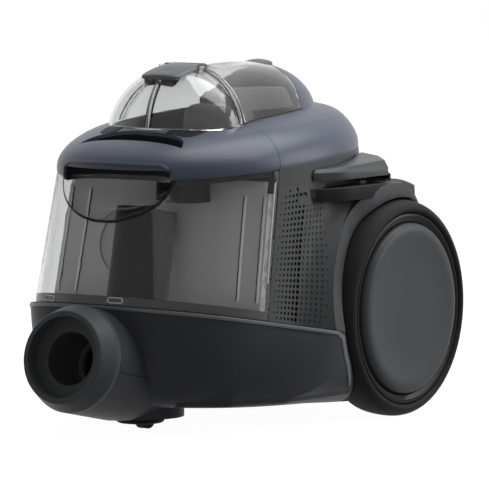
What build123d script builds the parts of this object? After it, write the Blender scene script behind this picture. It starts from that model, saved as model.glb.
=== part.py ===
"""Canister vacuum cleaner: base, clear dust bin, clear canopy and two large wheels.

Lengths are millimetres, +Z is up, the hose inlet faces -Y and the ground is Z = 0.
Every outer form comes from one set of egg sections, so neighbours share their surfaces.
"""
import os
from math import copysign, cos, pi, radians, sin, sqrt

from build123d import *

os.makedirs("parts", exist_ok=True)

# Overall size
LENGTH = 428.0
WHEEL_R = 95.0
AXLE_Y = LENGTH / 2 - WHEEL_R
AXLE_Z = WHEEL_R
BODY_Y = 10.0
WALL = 3.0
CLEAR_WALL = 2.5
GAP = 0.5

# Parting surfaces: base rim, cover edge, and the split between bin and body
RIM_Z = 84.5
RIM_LEAN = 9.65
COVER_Z = 228.0
COVER_LEAN = -4.0
SPLIT_Y = -36.0
SPLIT_Z = 224.0
SPLIT_LEAN = 12.0

# Hose inlet
INLET_LEAN = 11.3
MOUTH_Y = -206.36
MOUTH_Z = 72.4
MOUTH_R = 40.0
RECESS_R = 35.0
RECESS_DEPTH = 13.0
BORE_R = 23.0
BORE_LENGTH = 45.0
NOSE_R = 46.0
COLLAR_DEPTH = 22.0
DUCT_TURN = 100.0
NOSE_PART = -8.0

# Wheels and the wells round them
WELL_R = 98.5
WELL_X = 101.0
ARCH_R = 112.0
ARCH_X = 136.0
ARCH_LEAN = 8.0
FLARE_R = 200.0
FLARE_DEPTH = 32.0
CHEEK_X = 138.0
CHEEK_FALL = 4.3
AXLE_R = 6.0
RUN_FIT = 0.05

# Caster
CASTER_Y = -91.0
CASTER_R = 21.0
CASTER_WHEEL_R = 9.0
CASTER_TRAIL = 7.0
CASTER_TOP = 20.0
CHIN_Z = 12.0

# Canopy arches: place along Y, arch radius, height of the arch centre
ARCHES = ((-27.0, 66.7, 243.0), (30.0, 62.4, 247.4), (80.0, 56.0, 253.0),
          (134.0, 32.0, 262.0), (160.0, 14.0, 262.0))
NOSE_Y = -35.0
NOSE_FLAT = 46.0 / 66.7
CANOPY_FOOT = 240.0
LID_END_Y = 80.0

# Grip: the hand space under and behind the front bar
GRIP_Y = -146.0
GRIP_Z = 218.0
GRIP_HALF = 56.0
GRIP_DEEP = 45.0
GRIP_TALL = 34.0
GAP_DEEP = 62.0
GAP_Z = 226.0
BAR_REAR_Y = -105.0
BAR_UNDER_Z = 227.0

# Pedals
PEDAL_FRONT_Y = 4.0
PEDAL_REAR_Y = 116.0
PEDAL_OUT_X = 127.0
PEDAL_LOW_Z = 212.5
PEDAL_HIGH_Z = 222.0
PEDAL_PIVOT = (30.0, 217.5)
LEDGE_LOW_Z = 198.0
LEDGE_HIGH_Z = 205.5

# Bin latch pivot, as place along Y and height
LATCH_PIVOT = (-24.0, 307.5)

# Vents
VENT_ROWS = 11
VENT_COLUMNS = 5
VENT_PITCH = 9.8
VENT_R = 1.6

# Inner works
MOTOR_Y = 4.0
MOTOR_Z = 80.0
MOTOR_R = 48.0
MOTOR_LENGTH = 112.0
REEL_Y = 92.0
REEL_Z = 170.0
REEL_R = 72.0
REEL_H = 42.0
RISER_R = 20.5
RISER_OUT = 26.0
RISER_LENGTH = 138.0
BOWL_R = 23.0

OUTLINE_POINTS = 16
BIG = 600.0
UP = (Align.CENTER, Align.CENTER, Align.MIN)


def lean(y, z, degrees):
    """Plane across the body whose normal leans back by the given angle."""
    tilt = radians(degrees)
    return Plane(origin=(0, y, z), x_dir=(1, 0, 0), z_dir=(0, sin(tilt), cos(tilt)))


RIM = lean(BODY_Y, RIM_Z, RIM_LEAN)
COVER = lean(BODY_Y, COVER_Z, COVER_LEAN)
SPLIT = Plane(origin=(0, SPLIT_Y, SPLIT_Z), x_dir=(1, 0, 0),
              z_dir=(0, cos(radians(SPLIT_LEAN)), -sin(radians(SPLIT_LEAN))))
LID_END = Plane(origin=(0, LID_END_Y, 265), x_dir=(1, 0, 0), z_dir=SPLIT.z_dir)
INLET_AXIS = Vector(0, -cos(radians(INLET_LEAN)), sin(radians(INLET_LEAN)))
MOUTH = Plane(origin=(0, MOUTH_Y, MOUTH_Z), x_dir=(1, 0, 0), z_dir=INLET_AXIS)
MOUTH_CUT = Plane(origin=MOUTH.origin, x_dir=MOUTH.y_dir, z_dir=(1, 0, 0))
WHEEL_CUT = Plane(origin=(0, AXLE_Y, AXLE_Z), x_dir=(0, 0, 1), z_dir=(0, 1, 0))
AXLE = Axis((0, AXLE_Y, AXLE_Z), (1, 0, 0))


def egg(plane, half_width, front, rear, power):
    """Closed egg outline from the super-ellipse formula, longer behind than in front."""
    points = []
    for step in range(OUTLINE_POINTS):
        turn = pi / 2 + 2 * pi * step / OUTLINE_POINTS
        across = copysign(abs(cos(turn)) ** (2 / power), cos(turn))
        along = copysign(abs(sin(turn)) ** (2 / power), sin(turn))
        reach = rear if along > 0 else front
        points.append((half_width * across, reach * along))
    with BuildSketch(plane) as outline:
        with BuildLine():
            Spline(*points, periodic=True)
        make_face()
    return outline.sketch


def egg_loft(rows, ruled=False):
    """Solid through a row of egg sections, each (plane, half width, front, rear, power)."""
    with BuildPart() as form:
        loft(sections=[egg(*row) for row in rows], ruled=ruled)
    return form.part


def upper_form(inset=0.0, low=0.0, high=0.0):
    """Bin and body form, from the rim plane up to the cover edge."""
    return egg_loft(((RIM.offset(low), 118 - inset, 168 - inset, 190 - inset, 2.7),
                     (COVER.offset(high), 111 - inset, 151 - inset, 163 - inset, 2.2)), True)


def cover_form(inset=0.0, drop=0.0):
    """Rounded cover form; the inner one is inset and dropped by the wall."""
    rows = ((0, 111, 151, 163), (8, 110, 150.5, 163), (16, 105.5, 146, 161), (24, 98, 133, 157),
            (30, 89, 112, 151), (34, 75, 95, 140), (36.5, 58, 78, 125))
    return egg_loft([(COVER.offset(height - drop), width - inset, front - inset, rear - inset, 2.2)
                     for height, width, front, rear in rows])


def base_form(inset=0.0, lift=0.0):
    """Base tub form with its rounded bilge, from the underside up to the rim plane."""
    rows = ((17, 3.0, 84, 128, 150, 2.5), (24, 4.0, 102, 150, 166, 2.6),
            (42, 6.5, 114, 164, 180, 2.7), (63, 8.0, 120, 170, 187, 2.7),
            (RIM_Z, RIM_LEAN, 122, 172, 191, 2.7))
    return egg_loft([(lean(BODY_Y, height + lift, tilt), width - inset, front - inset,
                      rear - inset, power) for height, tilt, width, front, rear, power in rows])


def fender_form():
    """Flared ring round the right wheel, as a revolve about its own leaning axis."""
    tilt = radians(ARCH_LEAN)
    cut = Plane(origin=(ARCH_X, AXLE_Y, AXLE_Z), x_dir=(0, -1, 0), z_dir=(-sin(tilt), 0, cos(tilt)))
    with BuildPart() as form:
        with BuildSketch(cut):
            with BuildLine():
                Polyline((ARCH_R, 0), (90, 0), (90, -60), (FLARE_R, -60), (FLARE_R, -FLARE_DEPTH))
                TangentArc((FLARE_R, -FLARE_DEPTH), (ARCH_R, 0), tangent=(-1, 0))
            make_face()
        revolve(axis=Axis((ARCH_X, AXLE_Y, AXLE_Z), (cos(tilt), 0, sin(tilt))))
        add(egg_loft(((lean(0, 40, 0), 135, 250, 192, 4), (lean(0, 90, 0), 138.5, 250, 196, 4),
                      (lean(0, 240, 0), 138.5, 250, 190, 4))), mode=Mode.INTERSECT)
        split(bisect_by=Plane.YZ.offset(60), keep=Keep.TOP)
        with BuildSketch(Plane.YZ.offset(60)):
            with Locations((AXLE_Y + 90 - 3, 150)):
                Rectangle(180, 400)
            with Locations((AXLE_Y + 60, AXLE_Z + ARCH_R + 101)):
                Rectangle(160, 200)
            with Locations((AXLE_Y, AXLE_Z)):
                Circle(ARCH_R + 1, mode=Mode.SUBTRACT)
        extrude(amount=100, mode=Mode.SUBTRACT)
    return form.part


def cheek_form():
    """Right cheek of the base: the side swings out in plan to meet the wheel."""
    with BuildPart() as form:
        with BuildSketch(Plane.XY.offset(5)):
            with BuildLine():
                Polyline((95, -90), (95, AXLE_Y), (CHEEK_X, AXLE_Y), (CHEEK_X, 30))
                Spline((CHEEK_X, 30), (130, -18), (95, -90), tangents=((0, -1), (-0.5, -1)))
            make_face()
        extrude(amount=118)
        rows = ((20, 102, 150, 150, 3), (25, 119, 180, 180, 3.2), (36, 131, 195, 192, 3.6),
                (58, 138, 205, 196, 4), (130, 139, 205, 196, 4))
        add(egg_loft([(lean(0, height, CHEEK_FALL), width, front, rear, power)
                      for height, width, front, rear, power in rows]), mode=Mode.INTERSECT)
        split(bisect_by=RIM, keep=Keep.BOTTOM)
    return form.part


def canopy_form(inset=0.0):
    """Canopy: a row of falling arches with a flattened ball in front."""
    faces = []
    for place, radius, height in ARCHES:
        r = radius - inset
        back = place - inset if place == ARCHES[-1][0] else place
        with BuildSketch(Plane(origin=(0, back, 0), x_dir=(1, 0, 0), z_dir=(0, -1, 0))) as arch:
            with BuildLine():
                Polyline((-r, height), (-r, CANOPY_FOOT), (r, CANOPY_FOOT), (r, height))
                ThreePointArc((r, height), (0, height + r), (-r, height))
            make_face()
        faces.append(arch.sketch)
    radius = ARCHES[0][1] - inset
    with BuildPart() as ball:
        with Locations((0, 0, ARCHES[0][2])):
            Sphere(radius)
        with Locations((0, 0, CANOPY_FOOT)):
            Cylinder(radius, ARCHES[0][2] - CANOPY_FOOT, align=UP)
        split(bisect_by=Plane.XY.offset(CANOPY_FOOT), keep=Keep.TOP)
        split(bisect_by=Plane.XZ, keep=Keep.TOP)
    flat = (NOSE_FLAT * ARCHES[0][1] - inset) / radius
    front = scale(ball.part, by=(1, flat, 1), mode=Mode.PRIVATE)
    with BuildPart() as form:
        loft(sections=faces)
        add(front.moved(Location((0, NOSE_Y, 0))))
        with BuildSketch(Plane(origin=(0, NOSE_Y, 0), x_dir=(1, 0, 0), z_dir=(0, -1, 0))):
            with BuildLine():
                Polyline((-radius, ARCHES[0][2]), (-radius, CANOPY_FOOT), (radius, CANOPY_FOOT),
                         (radius, ARCHES[0][2]))
                ThreePointArc((radius, ARCHES[0][2]), (0, ARCHES[0][2] + radius),
                              (-radius, ARCHES[0][2]))
            make_face()
        extrude(amount=NOSE_Y - ARCHES[0][0])
    return form.part


def grip_form(grow=0.0):
    """Hand space: a rounded dish under the bar, a rise above it and the gap behind the bar."""
    half = GRIP_HALF + grow
    deep = GRIP_DEEP + grow
    tall = GRIP_TALL + grow
    rows = []
    for share in (0.1, 0.4, 0.65, 0.85, 0.96, 1.0):
        level = lean(GRIP_Y, GRIP_Z - tall * sqrt(1 - share ** 2), 0)
        rows.append((level, half * share, deep * share, deep * share, 2 + 2 * share ** 4))
    with BuildPart() as form:
        add(egg_loft(rows))
        extrude(egg(lean(GRIP_Y, GRIP_Z, 0), half, deep, deep, 4), amount=80)
        extrude(egg(lean(GRIP_Y, GAP_Z - grow, 0), half, deep, GAP_DEEP + grow, 4), amount=72)
    return form.part


def well(side, radius=WELL_R, start=WELL_X):
    """Straight wheel well on one side, from its inner wall outwards."""
    with BuildPart() as form:
        with BuildSketch(Plane.YZ.offset(side * start)):
            with Locations((AXLE_Y, AXLE_Z)):
                Circle(radius)
        extrude(amount=side * 80)
    return form.part


def slab(plane, near, far):
    """Big plate between two offsets of a plane."""
    with BuildPart() as form:
        with BuildSketch(plane.offset(near)):
            Rectangle(BIG, BIG)
        extrude(amount=far - near)
    return form.part


def turned(plane, axis, points):
    """Ring turned about an axis from a closed row of profile points."""
    with BuildPart() as form:
        with BuildSketch(plane):
            with BuildLine():
                Polyline(*points, close=True)
            make_face()
        revolve(axis=axis)
    return form.part


def pedal_plan(height, grow=0.0):
    """Plan outline of the right pedal at a height: it swells from the body side to the rear."""
    front = PEDAL_FRONT_Y - grow
    rear = PEDAL_REAR_Y + grow
    out = PEDAL_OUT_X + grow
    with BuildSketch(Plane.XY.offset(height)) as plan:
        with BuildLine():
            Spline((104, front), (119 + grow, front + 15), (out, front + 46),
                   tangents=((1, 0.1), (0, 1)))
            Polyline((out, front + 46), (out, rear - 10), (out - 12, rear), (90, rear), (90, front),
                     (104, front))
        make_face()
    return plan.sketch


INLET = Axis(MOUTH.origin, INLET_AXIS)
RISER_FOOT = MOUTH.origin - INLET_AXIS * DUCT_TURN
OUTER = upper_form()
INNER = upper_form(WALL, -6, 6)
COVER_OUTER = cover_form()
COVER_INNER = cover_form(CLEAR_WALL, CLEAR_WALL)
BASE_OUTER = base_form()
BASE_INNER = base_form(WALL, WALL)
CANOPY = canopy_form()
CANOPY_INNER = canopy_form(CLEAR_WALL)
CANOPY_MOUTH = canopy_form(5.0)
CANOPY_ROUND = canopy_form(-0.6)
COVER_ROUND = cover_form(-0.4, -0.4)
FENDER = fender_form()
GRIP = grip_form()
GRIP_WALL = grip_form(CLEAR_WALL)
GRIP_ROOM = grip_form(CLEAR_WALL + 0.4)
GRIP_SEAL = grip_form(CLEAR_WALL + 4)
GRIP_CLEAR = grip_form(CLEAR_WALL + 4.4)
CHEEK = cheek_form()
WELLS = [well(side) for side in (1, -1)]
WELL_WALLS = [well(side, WELL_R + WALL, WELL_X - WALL) for side in (1, -1)]


# Base tub: rounded shell with wheel wells, flared cheeks and a floor for the works
with BuildPart() as base_cavity:
    add(BASE_INNER)
    for wall in WELL_WALLS:
        add(wall, mode=Mode.SUBTRACT)
with BuildPart() as base_shell:
    add(CHEEK)
    mirror(about=Plane.YZ)
    add(BASE_OUTER)
    for hollow in WELLS:
        add(hollow, mode=Mode.SUBTRACT)
    add(base_cavity.part, mode=Mode.SUBTRACT)
    with BuildSketch(MOUTH.offset(-COLLAR_DEPTH)):
        Circle(31)
    extrude(amount=-70, mode=Mode.SUBTRACT)
    with Locations((0, CASTER_Y, 30)):
        Cylinder(14, 40, mode=Mode.SUBTRACT)
    for side in (1, -1):
        with BuildSketch(Plane.YZ.offset(side * 90)):
            with Locations((AXLE_Y, AXLE_Z)):
                Circle(AXLE_R)
        extrude(amount=side * 14, mode=Mode.SUBTRACT)
base_shell.part.label = "base_shell"
export_step(base_shell.part, "parts/base_shell.step")

# Nose: collar with its recess, bored sleeve, and an upper and lower housing half
inlet_ring = ((RECESS_R, 0), (MOUTH_R - 1, 0), (MOUTH_R, -1), (NOSE_R, -16), (NOSE_R, -COLLAR_DEPTH),
              (RECESS_R, -COLLAR_DEPTH))
with BuildPart() as inlet_collar:
    add(turned(MOUTH_CUT, INLET, inlet_ring))
inlet_collar.part.label = "inlet_collar"
export_step(inlet_collar.part, "parts/inlet_collar.step")

sleeve_ring = ((BORE_R, -RECESS_DEPTH), (RECESS_R, -RECESS_DEPTH), (RECESS_R, -COLLAR_DEPTH),
               (30, -COLLAR_DEPTH), (30, -BORE_LENGTH - 17), (19, -BORE_LENGTH - 17),
               (19, -BORE_LENGTH - 13), (BORE_R, -BORE_LENGTH - 13))
with BuildPart() as inlet_sleeve:
    add(turned(MOUTH_CUT, INLET, sleeve_ring))
inlet_sleeve.part.label = "inlet_sleeve"
export_step(inlet_sleeve.part, "parts/inlet_sleeve.step")

NOSE_SPLIT = Plane(origin=MOUTH.origin + MOUTH.y_dir * NOSE_PART, x_dir=(1, 0, 0), z_dir=MOUTH.y_dir)
with BuildPart() as nose_upper:
    with BuildSketch(MOUTH.offset(-COLLAR_DEPTH - GAP)):
        Circle(NOSE_R)
        Circle(30, mode=Mode.SUBTRACT)
    extrude(amount=-60)
    split(bisect_by=NOSE_SPLIT.offset(GAP / 2), keep=Keep.TOP)
    add(BASE_OUTER, mode=Mode.SUBTRACT)
    add(slab(RIM, 0, 80), mode=Mode.SUBTRACT)
nose_upper.part.label = "nose_upper"
export_step(nose_upper.part, "parts/nose_upper.step")

with BuildPart() as nose_lower:
    with BuildSketch(MOUTH.offset(-COLLAR_DEPTH - GAP)):
        Circle(NOSE_R)
    extrude(amount=-105)
    with Locations((0, CASTER_Y, CHIN_Z)):
        Cylinder(38, 30, align=UP)
    split(bisect_by=NOSE_SPLIT.offset(-GAP / 2), keep=Keep.BOTTOM)
    split(bisect_by=Plane.XY.offset(CHIN_Z), keep=Keep.TOP)
    with BuildSketch(MOUTH.offset(-COLLAR_DEPTH)):
        Circle(30)
    extrude(amount=-80, mode=Mode.SUBTRACT)
    add(BASE_OUTER, mode=Mode.SUBTRACT)
    with Locations((0, CASTER_Y, CASTER_TOP)):
        Cylinder(14, 11, align=UP)
    with Locations((0, CASTER_Y, 0)):
        Cylinder(CASTER_R + 1, CASTER_TOP, align=UP, mode=Mode.SUBTRACT)
        Cylinder(5 + RUN_FIT, 60, align=UP, mode=Mode.SUBTRACT)
nose_lower.part.label = "nose_lower"
export_step(nose_lower.part, "parts/nose_lower.step")

# Duct from the inlet up to the tray under the riser tube
with BuildPart() as inlet_duct:
    start = MOUTH.origin - INLET_AXIS * (BORE_LENGTH + 17)
    turn = MOUTH.origin - INLET_AXIS * DUCT_TURN
    with BuildLine(Plane.YZ) as duct_path:
        FilletPolyline((start.Y, start.Z), (turn.Y, turn.Z),
                       (turn.Y + 56 * sin(radians(SPLIT_LEAN)), turn.Z + 56 * cos(radians(SPLIT_LEAN))),
                       radius=24)
    with BuildSketch(MOUTH.offset(-BORE_LENGTH - 17)):
        Circle(RISER_R)
        Circle(RISER_R - 2, mode=Mode.SUBTRACT)
    sweep(path=duct_path.wires()[0])
    split(bisect_by=RIM.offset(-6), keep=Keep.BOTTOM)
inlet_duct.part.label = "inlet_duct"
export_step(inlet_duct.part, "parts/inlet_duct.step")

# Tray that the bin stands on, fitted to the base wall in front of the split
with BuildPart() as bin_tray:
    add(slab(RIM, -9, -6))
    add(BASE_INNER, mode=Mode.INTERSECT)
    split(bisect_by=SPLIT.offset(-GAP), keep=Keep.BOTTOM)
    add(BASE_INNER, mode=Mode.INTERSECT)
    with BuildSketch(lean(RISER_FOOT.Y, RISER_FOOT.Z, SPLIT_LEAN)):
        Circle(RISER_R)
    extrude(amount=60, mode=Mode.SUBTRACT)
bin_tray.part.label = "bin_tray"
export_step(bin_tray.part, "parts/bin_tray.step")

# Rear body: shell with wheel arches, pedal ledges, vent windows and an exhaust window
with BuildPart() as body_cavity:
    add(INNER)
    for wall in WELL_WALLS:
        add(wall, mode=Mode.SUBTRACT)
with BuildPart() as body_form:
    add(FENDER)
    extrude(pedal_plan(LEDGE_LOW_Z, 1.5), amount=LEDGE_HIGH_Z - LEDGE_LOW_Z)
    extrude(pedal_plan(LEDGE_HIGH_Z, 1.5), amount=60, mode=Mode.SUBTRACT)
    mirror(about=Plane.YZ)
    split(bisect_by=RIM, keep=Keep.TOP)
    split(bisect_by=COVER, keep=Keep.BOTTOM)
    add(OUTER)
    for hollow in WELLS:
        add(hollow, mode=Mode.SUBTRACT)
    add(body_cavity.part, mode=Mode.SUBTRACT)
    split(bisect_by=SPLIT.offset(GAP / 2), keep=Keep.TOP)

VENT_EDGE = ((-62, 99.5), (-38, 208), (-2, 208), (3, 194), (8, 150), (0, 89.5))
with BuildPart() as vent_window:
    with BuildSketch(Plane.YZ.offset(85)):
        with BuildLine():
            Polyline(*VENT_EDGE, close=True)
        make_face()
    extrude(amount=70)
with BuildPart() as arch_zone:
    with BuildSketch(Plane(origin=(ARCH_X, AXLE_Y, AXLE_Z), x_dir=(0, -1, 0),
                           z_dir=(cos(radians(ARCH_LEAN)), 0, sin(radians(ARCH_LEAN)))).offset(-6)):
        Circle(ARCH_R)
    extrude(amount=12)
with BuildPart() as exhaust_zone:
    with Locations((0, 180, 138)):
        Box(100, 60, 52)
with BuildPart() as side_zones:
    add(vent_window.part)
    add(arch_zone.part)
    mirror(about=Plane.YZ)
with BuildPart() as body_shell:
    add(body_form.part)
    add(side_zones.part, mode=Mode.SUBTRACT)
    add(exhaust_zone.part, mode=Mode.SUBTRACT)
    for side in (1, -1):
        with BuildSketch(Plane.YZ.offset(side * 95)):
            with Locations((PEDAL_PIVOT[0], PEDAL_PIVOT[1])):
                Circle(2)
            with Locations((AXLE_Y, AXLE_Z)):
                Circle(AXLE_R)
        extrude(amount=side * 30, mode=Mode.SUBTRACT)
    with BuildSketch(Plane.XZ.offset(-140)):
        with Locations((-72, 122)):
            Circle(9)
    extrude(amount=-60, mode=Mode.SUBTRACT)
body_shell.part.label = "body_shell"
export_step(body_shell.part, "parts/body_shell.step")

# Perforated side panel: the vent patch of the body form with rows of holes
with BuildPart() as vent_panel_right:
    add(body_form.part)
    add(vent_window.part, mode=Mode.INTERSECT)
    with BuildSketch(Plane.YZ.offset(85)):
        for row in range(VENT_ROWS):
            height = 104 + row * VENT_PITCH
            edge = SPLIT_Y + (height - SPLIT_Z) * sin(radians(SPLIT_LEAN)) + 11
            for column in range(VENT_COLUMNS):
                with Locations((edge + 0.8 * column * VENT_PITCH, height)):
                    Circle(VENT_R if 0 < column < VENT_COLUMNS - 1 else 0.7 * VENT_R)
    extrude(amount=70, mode=Mode.SUBTRACT)
vent_panel_right.part.label = "vent_panel_right"
export_step(vent_panel_right.part, "parts/vent_panel_right.step")
with BuildPart() as vent_panel_left:
    add(mirror(vent_panel_right.part, about=Plane.YZ, mode=Mode.PRIVATE))
vent_panel_left.part.label = "vent_panel_left"
export_step(vent_panel_left.part, "parts/vent_panel_left.step")

# Wheel arch bands: the flat rings that frame the wheel openings
with BuildPart() as wheel_arch_right:
    add(body_form.part)
    add(vent_window.part, mode=Mode.SUBTRACT)
    add(arch_zone.part, mode=Mode.INTERSECT)
wheel_arch_right.part.label = "wheel_arch_right"
export_step(wheel_arch_right.part, "parts/wheel_arch_right.step")
with BuildPart() as wheel_arch_left:
    add(mirror(wheel_arch_right.part, about=Plane.YZ, mode=Mode.PRIVATE))
wheel_arch_left.part.label = "wheel_arch_left"
export_step(wheel_arch_left.part, "parts/wheel_arch_left.step")

# Exhaust grille in the rear wall, with its frame and the filter behind it
with BuildPart() as exhaust_grille:
    add(body_form.part)
    add(exhaust_zone.part, mode=Mode.INTERSECT)
    with BuildSketch(Plane.XZ.offset(-140)):
        with GridLocations(0, 8, 1, 5):
            with Locations((0, 138)):
                SlotOverall(84, 4.4)
    extrude(amount=-80, mode=Mode.SUBTRACT)
exhaust_grille.part.label = "exhaust_grille"
export_step(exhaust_grille.part, "parts/exhaust_grille.step")

with BuildPart() as exhaust_frame:
    with Locations((0, 172, 138)):
        Box(100, 44, 52)
        Box(94, 44, 46, mode=Mode.SUBTRACT)
    add(INNER, mode=Mode.INTERSECT)
exhaust_frame.part.label = "exhaust_frame"
export_step(exhaust_frame.part, "parts/exhaust_frame.step")

with BuildPart() as exhaust_filter:
    with Locations((0, 157, 138)):
        Box(94, 14, 46)
    with GridLocations(9, 0, 9, 1):
        with Locations((0, 164.5, 138)):
            Box(3, 3, 44, mode=Mode.SUBTRACT)
exhaust_filter.part.label = "exhaust_filter"
export_step(exhaust_filter.part, "parts/exhaust_filter.step")

with BuildPart() as cord_outlet:
    with BuildSketch(Plane.XZ.offset(-152)):
        with Locations((-72, 122)):
            Circle(9)
            Circle(4.5, mode=Mode.SUBTRACT)
    extrude(amount=-27)
cord_outlet.part.label = "cord_outlet"
export_step(cord_outlet.part, "parts/cord_outlet.step")

# Bulkhead that closes the body behind the bin, with the air window
with BuildPart() as bulkhead:
    add(INNER)
    add(slab(SPLIT, 1, 4), mode=Mode.INTERSECT)
    split(bisect_by=RIM, keep=Keep.TOP)
    split(bisect_by=COVER, keep=Keep.BOTTOM)
    with BuildSketch(SPLIT.offset(-5)):
        with Locations((0, 60)):
            SlotOverall(120, 46)
    extrude(amount=20, mode=Mode.SUBTRACT)
bulkhead.part.label = "bulkhead"
export_step(bulkhead.part, "parts/bulkhead.step")

# Blue covers and the clear canopy pieces that stand on them
with BuildPart() as lid_mouth:
    add(CANOPY_MOUTH)
    split(bisect_by=LID_END.offset(-5), keep=Keep.BOTTOM)
with BuildPart() as rear_cover:
    add(COVER_OUTER)
    add(COVER_INNER, mode=Mode.SUBTRACT)
    split(bisect_by=SPLIT.offset(GAP / 2), keep=Keep.TOP)
    add(lid_mouth.part, mode=Mode.SUBTRACT)
rear_cover.part.label = "rear_cover"
export_step(rear_cover.part, "parts/rear_cover.step")

with BuildPart() as tail_fin:
    add(CANOPY)
    add(CANOPY_INNER, mode=Mode.SUBTRACT)
    add(COVER_OUTER, mode=Mode.SUBTRACT)
    split(bisect_by=LID_END.offset(GAP / 2), keep=Keep.TOP)
    split(bisect_by=COVER.offset(10), keep=Keep.TOP)
tail_fin.part.label = "tail_fin"
export_step(tail_fin.part, "parts/tail_fin.step")

with BuildPart() as rear_dome:
    add(CANOPY)
    add(CANOPY_INNER, mode=Mode.SUBTRACT)
    add(COVER_ROUND, mode=Mode.SUBTRACT)
    split(bisect_by=SPLIT.offset(GAP / 2), keep=Keep.TOP)
    split(bisect_by=LID_END.offset(-GAP / 2), keep=Keep.BOTTOM)
rear_dome.part.label = "rear_dome"
export_step(rear_dome.part, "parts/rear_dome.step")

with BuildPart() as tail_room:
    add(CANOPY_ROUND)
    split(bisect_by=LID_END.offset(-GAP / 2), keep=Keep.TOP)
with BuildPart() as lid_tab:
    with BuildSketch(Plane.YZ):
        with BuildLine():
            Polyline((70, 306), (76, 311), (98, 311), (106, 307), (106, 290), (70, 290), close=True)
        make_face()
    extrude(amount=9, both=True)
    add(CANOPY, mode=Mode.SUBTRACT)
    add(tail_room.part, mode=Mode.SUBTRACT)
lid_tab.part.label = "lid_tab"
export_step(lid_tab.part, "parts/lid_tab.step")

# Front cover with the carry bar, its black hand recess and the clear front dome
with BuildPart() as carry_bar:
    add(COVER_OUTER)
    split(bisect_by=Plane.XZ.offset(-BAR_REAR_Y), keep=Keep.TOP)
    split(bisect_by=Plane.XY.offset(BAR_UNDER_Z), keep=Keep.TOP)
    with Locations((0, BAR_REAR_Y, BAR_UNDER_Z)):
        Box(2 * GRIP_HALF + 8, 120, 120, mode=Mode.INTERSECT)
with BuildPart() as front_cover:
    add(COVER_OUTER)
    add(COVER_INNER, mode=Mode.SUBTRACT)
    add(CANOPY_MOUTH, mode=Mode.SUBTRACT)
    add(GRIP, mode=Mode.SUBTRACT)
    add(carry_bar.part)
    split(bisect_by=SPLIT.offset(-GAP / 2), keep=Keep.BOTTOM)
front_cover.part.label = "front_cover"
export_step(front_cover.part, "parts/front_cover.step")

with BuildPart() as hand_recess:
    add(GRIP_WALL)
    add(GRIP, mode=Mode.SUBTRACT)
    add(COVER_INNER, mode=Mode.INTERSECT)
    split(bisect_by=COVER.offset(1), keep=Keep.TOP)
    add(carry_bar.part, mode=Mode.SUBTRACT)
hand_recess.part.label = "hand_recess"
export_step(hand_recess.part, "parts/hand_recess.step")

with BuildPart() as front_dome:
    add(CANOPY)
    with Locations((-19.5, -25, 300), (19.5, -25, 300)):
        Box(3.6, 12, 11, align=UP)
    add(CANOPY_INNER, mode=Mode.SUBTRACT)
    add(COVER_OUTER, mode=Mode.SUBTRACT)
    with Locations((0, -24, 302)):
        Box(35.4, 15, 20, align=UP, mode=Mode.SUBTRACT)
    with BuildSketch(Plane.YZ.offset(-30)):
        with Locations((LATCH_PIVOT[0], LATCH_PIVOT[1])):
            Circle(1.5)
    extrude(amount=60, mode=Mode.SUBTRACT)
    split(bisect_by=SPLIT.offset(-GAP / 2), keep=Keep.BOTTOM)
front_dome.part.label = "front_dome"
export_step(front_dome.part, "parts/front_dome.step")

with BuildPart() as latch_pin:
    with BuildSketch(Plane.YZ.offset(-21.3)):
        with Locations((LATCH_PIVOT[0], LATCH_PIVOT[1])):
            Circle(1.5)
    extrude(amount=42.6)
latch_pin.part.label = "latch_pin"
export_step(latch_pin.part, "parts/latch_pin.step")

with BuildPart() as latch_tab:
    with BuildSketch(Plane.YZ):
        with BuildLine():
            Polyline((-64, 298), (-64, 302), (-59, 305), (-36, 312), (-24, 312), (-24, 304.5), close=True)
        make_face()
    extrude(amount=17, both=True)
    add(CANOPY_ROUND, mode=Mode.SUBTRACT)
    with BuildSketch(Plane.YZ):
        with Locations((LATCH_PIVOT[0], LATCH_PIVOT[1])):
            Circle(3.4)
    extrude(amount=17, both=True)
    with BuildSketch(Plane.YZ):
        with Locations((LATCH_PIVOT[0], LATCH_PIVOT[1])):
            Circle(1.5 + RUN_FIT)
    extrude(amount=20, both=True, mode=Mode.SUBTRACT)
latch_tab.part.label = "latch_tab"
export_step(latch_tab.part, "parts/latch_tab.step")

# Dust bin: clear walls with the finger scoop, banded floor, riser tube and mesh screen
with BuildPart() as bin_inner:
    add(upper_form(CLEAR_WALL, 6, 8))
    add(GRIP_WALL, mode=Mode.SUBTRACT)
    split(bisect_by=SPLIT.offset(-GAP / 2 - CLEAR_WALL), keep=Keep.BOTTOM)
with BuildPart() as dust_bin:
    add(upper_form(0, 8, -GAP))
    add(GRIP, mode=Mode.SUBTRACT)
    split(bisect_by=SPLIT.offset(-GAP / 2), keep=Keep.BOTTOM)
    add(bin_inner.part, mode=Mode.SUBTRACT)
dust_bin.part.label = "dust_bin"
export_step(dust_bin.part, "parts/dust_bin.step")

with BuildPart() as bin_floor:
    extrude(egg(RIM.offset(-5.5), 115.5, 165.5, 187, 2.7), amount=6.1)
    extrude(egg(RIM.offset(0.6), 117.9, 167.8, 189, 2.7), amount=7.4)
    with BuildSketch(lean(RISER_FOOT.Y, RISER_FOOT.Z, SPLIT_LEAN)):
        Circle(RISER_R - 2)
    extrude(amount=120, mode=Mode.SUBTRACT)
    split(bisect_by=SPLIT.offset(-GAP / 2), keep=Keep.BOTTOM)
bin_floor.part.label = "bin_floor"
export_step(bin_floor.part, "parts/bin_floor.step")

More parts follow.
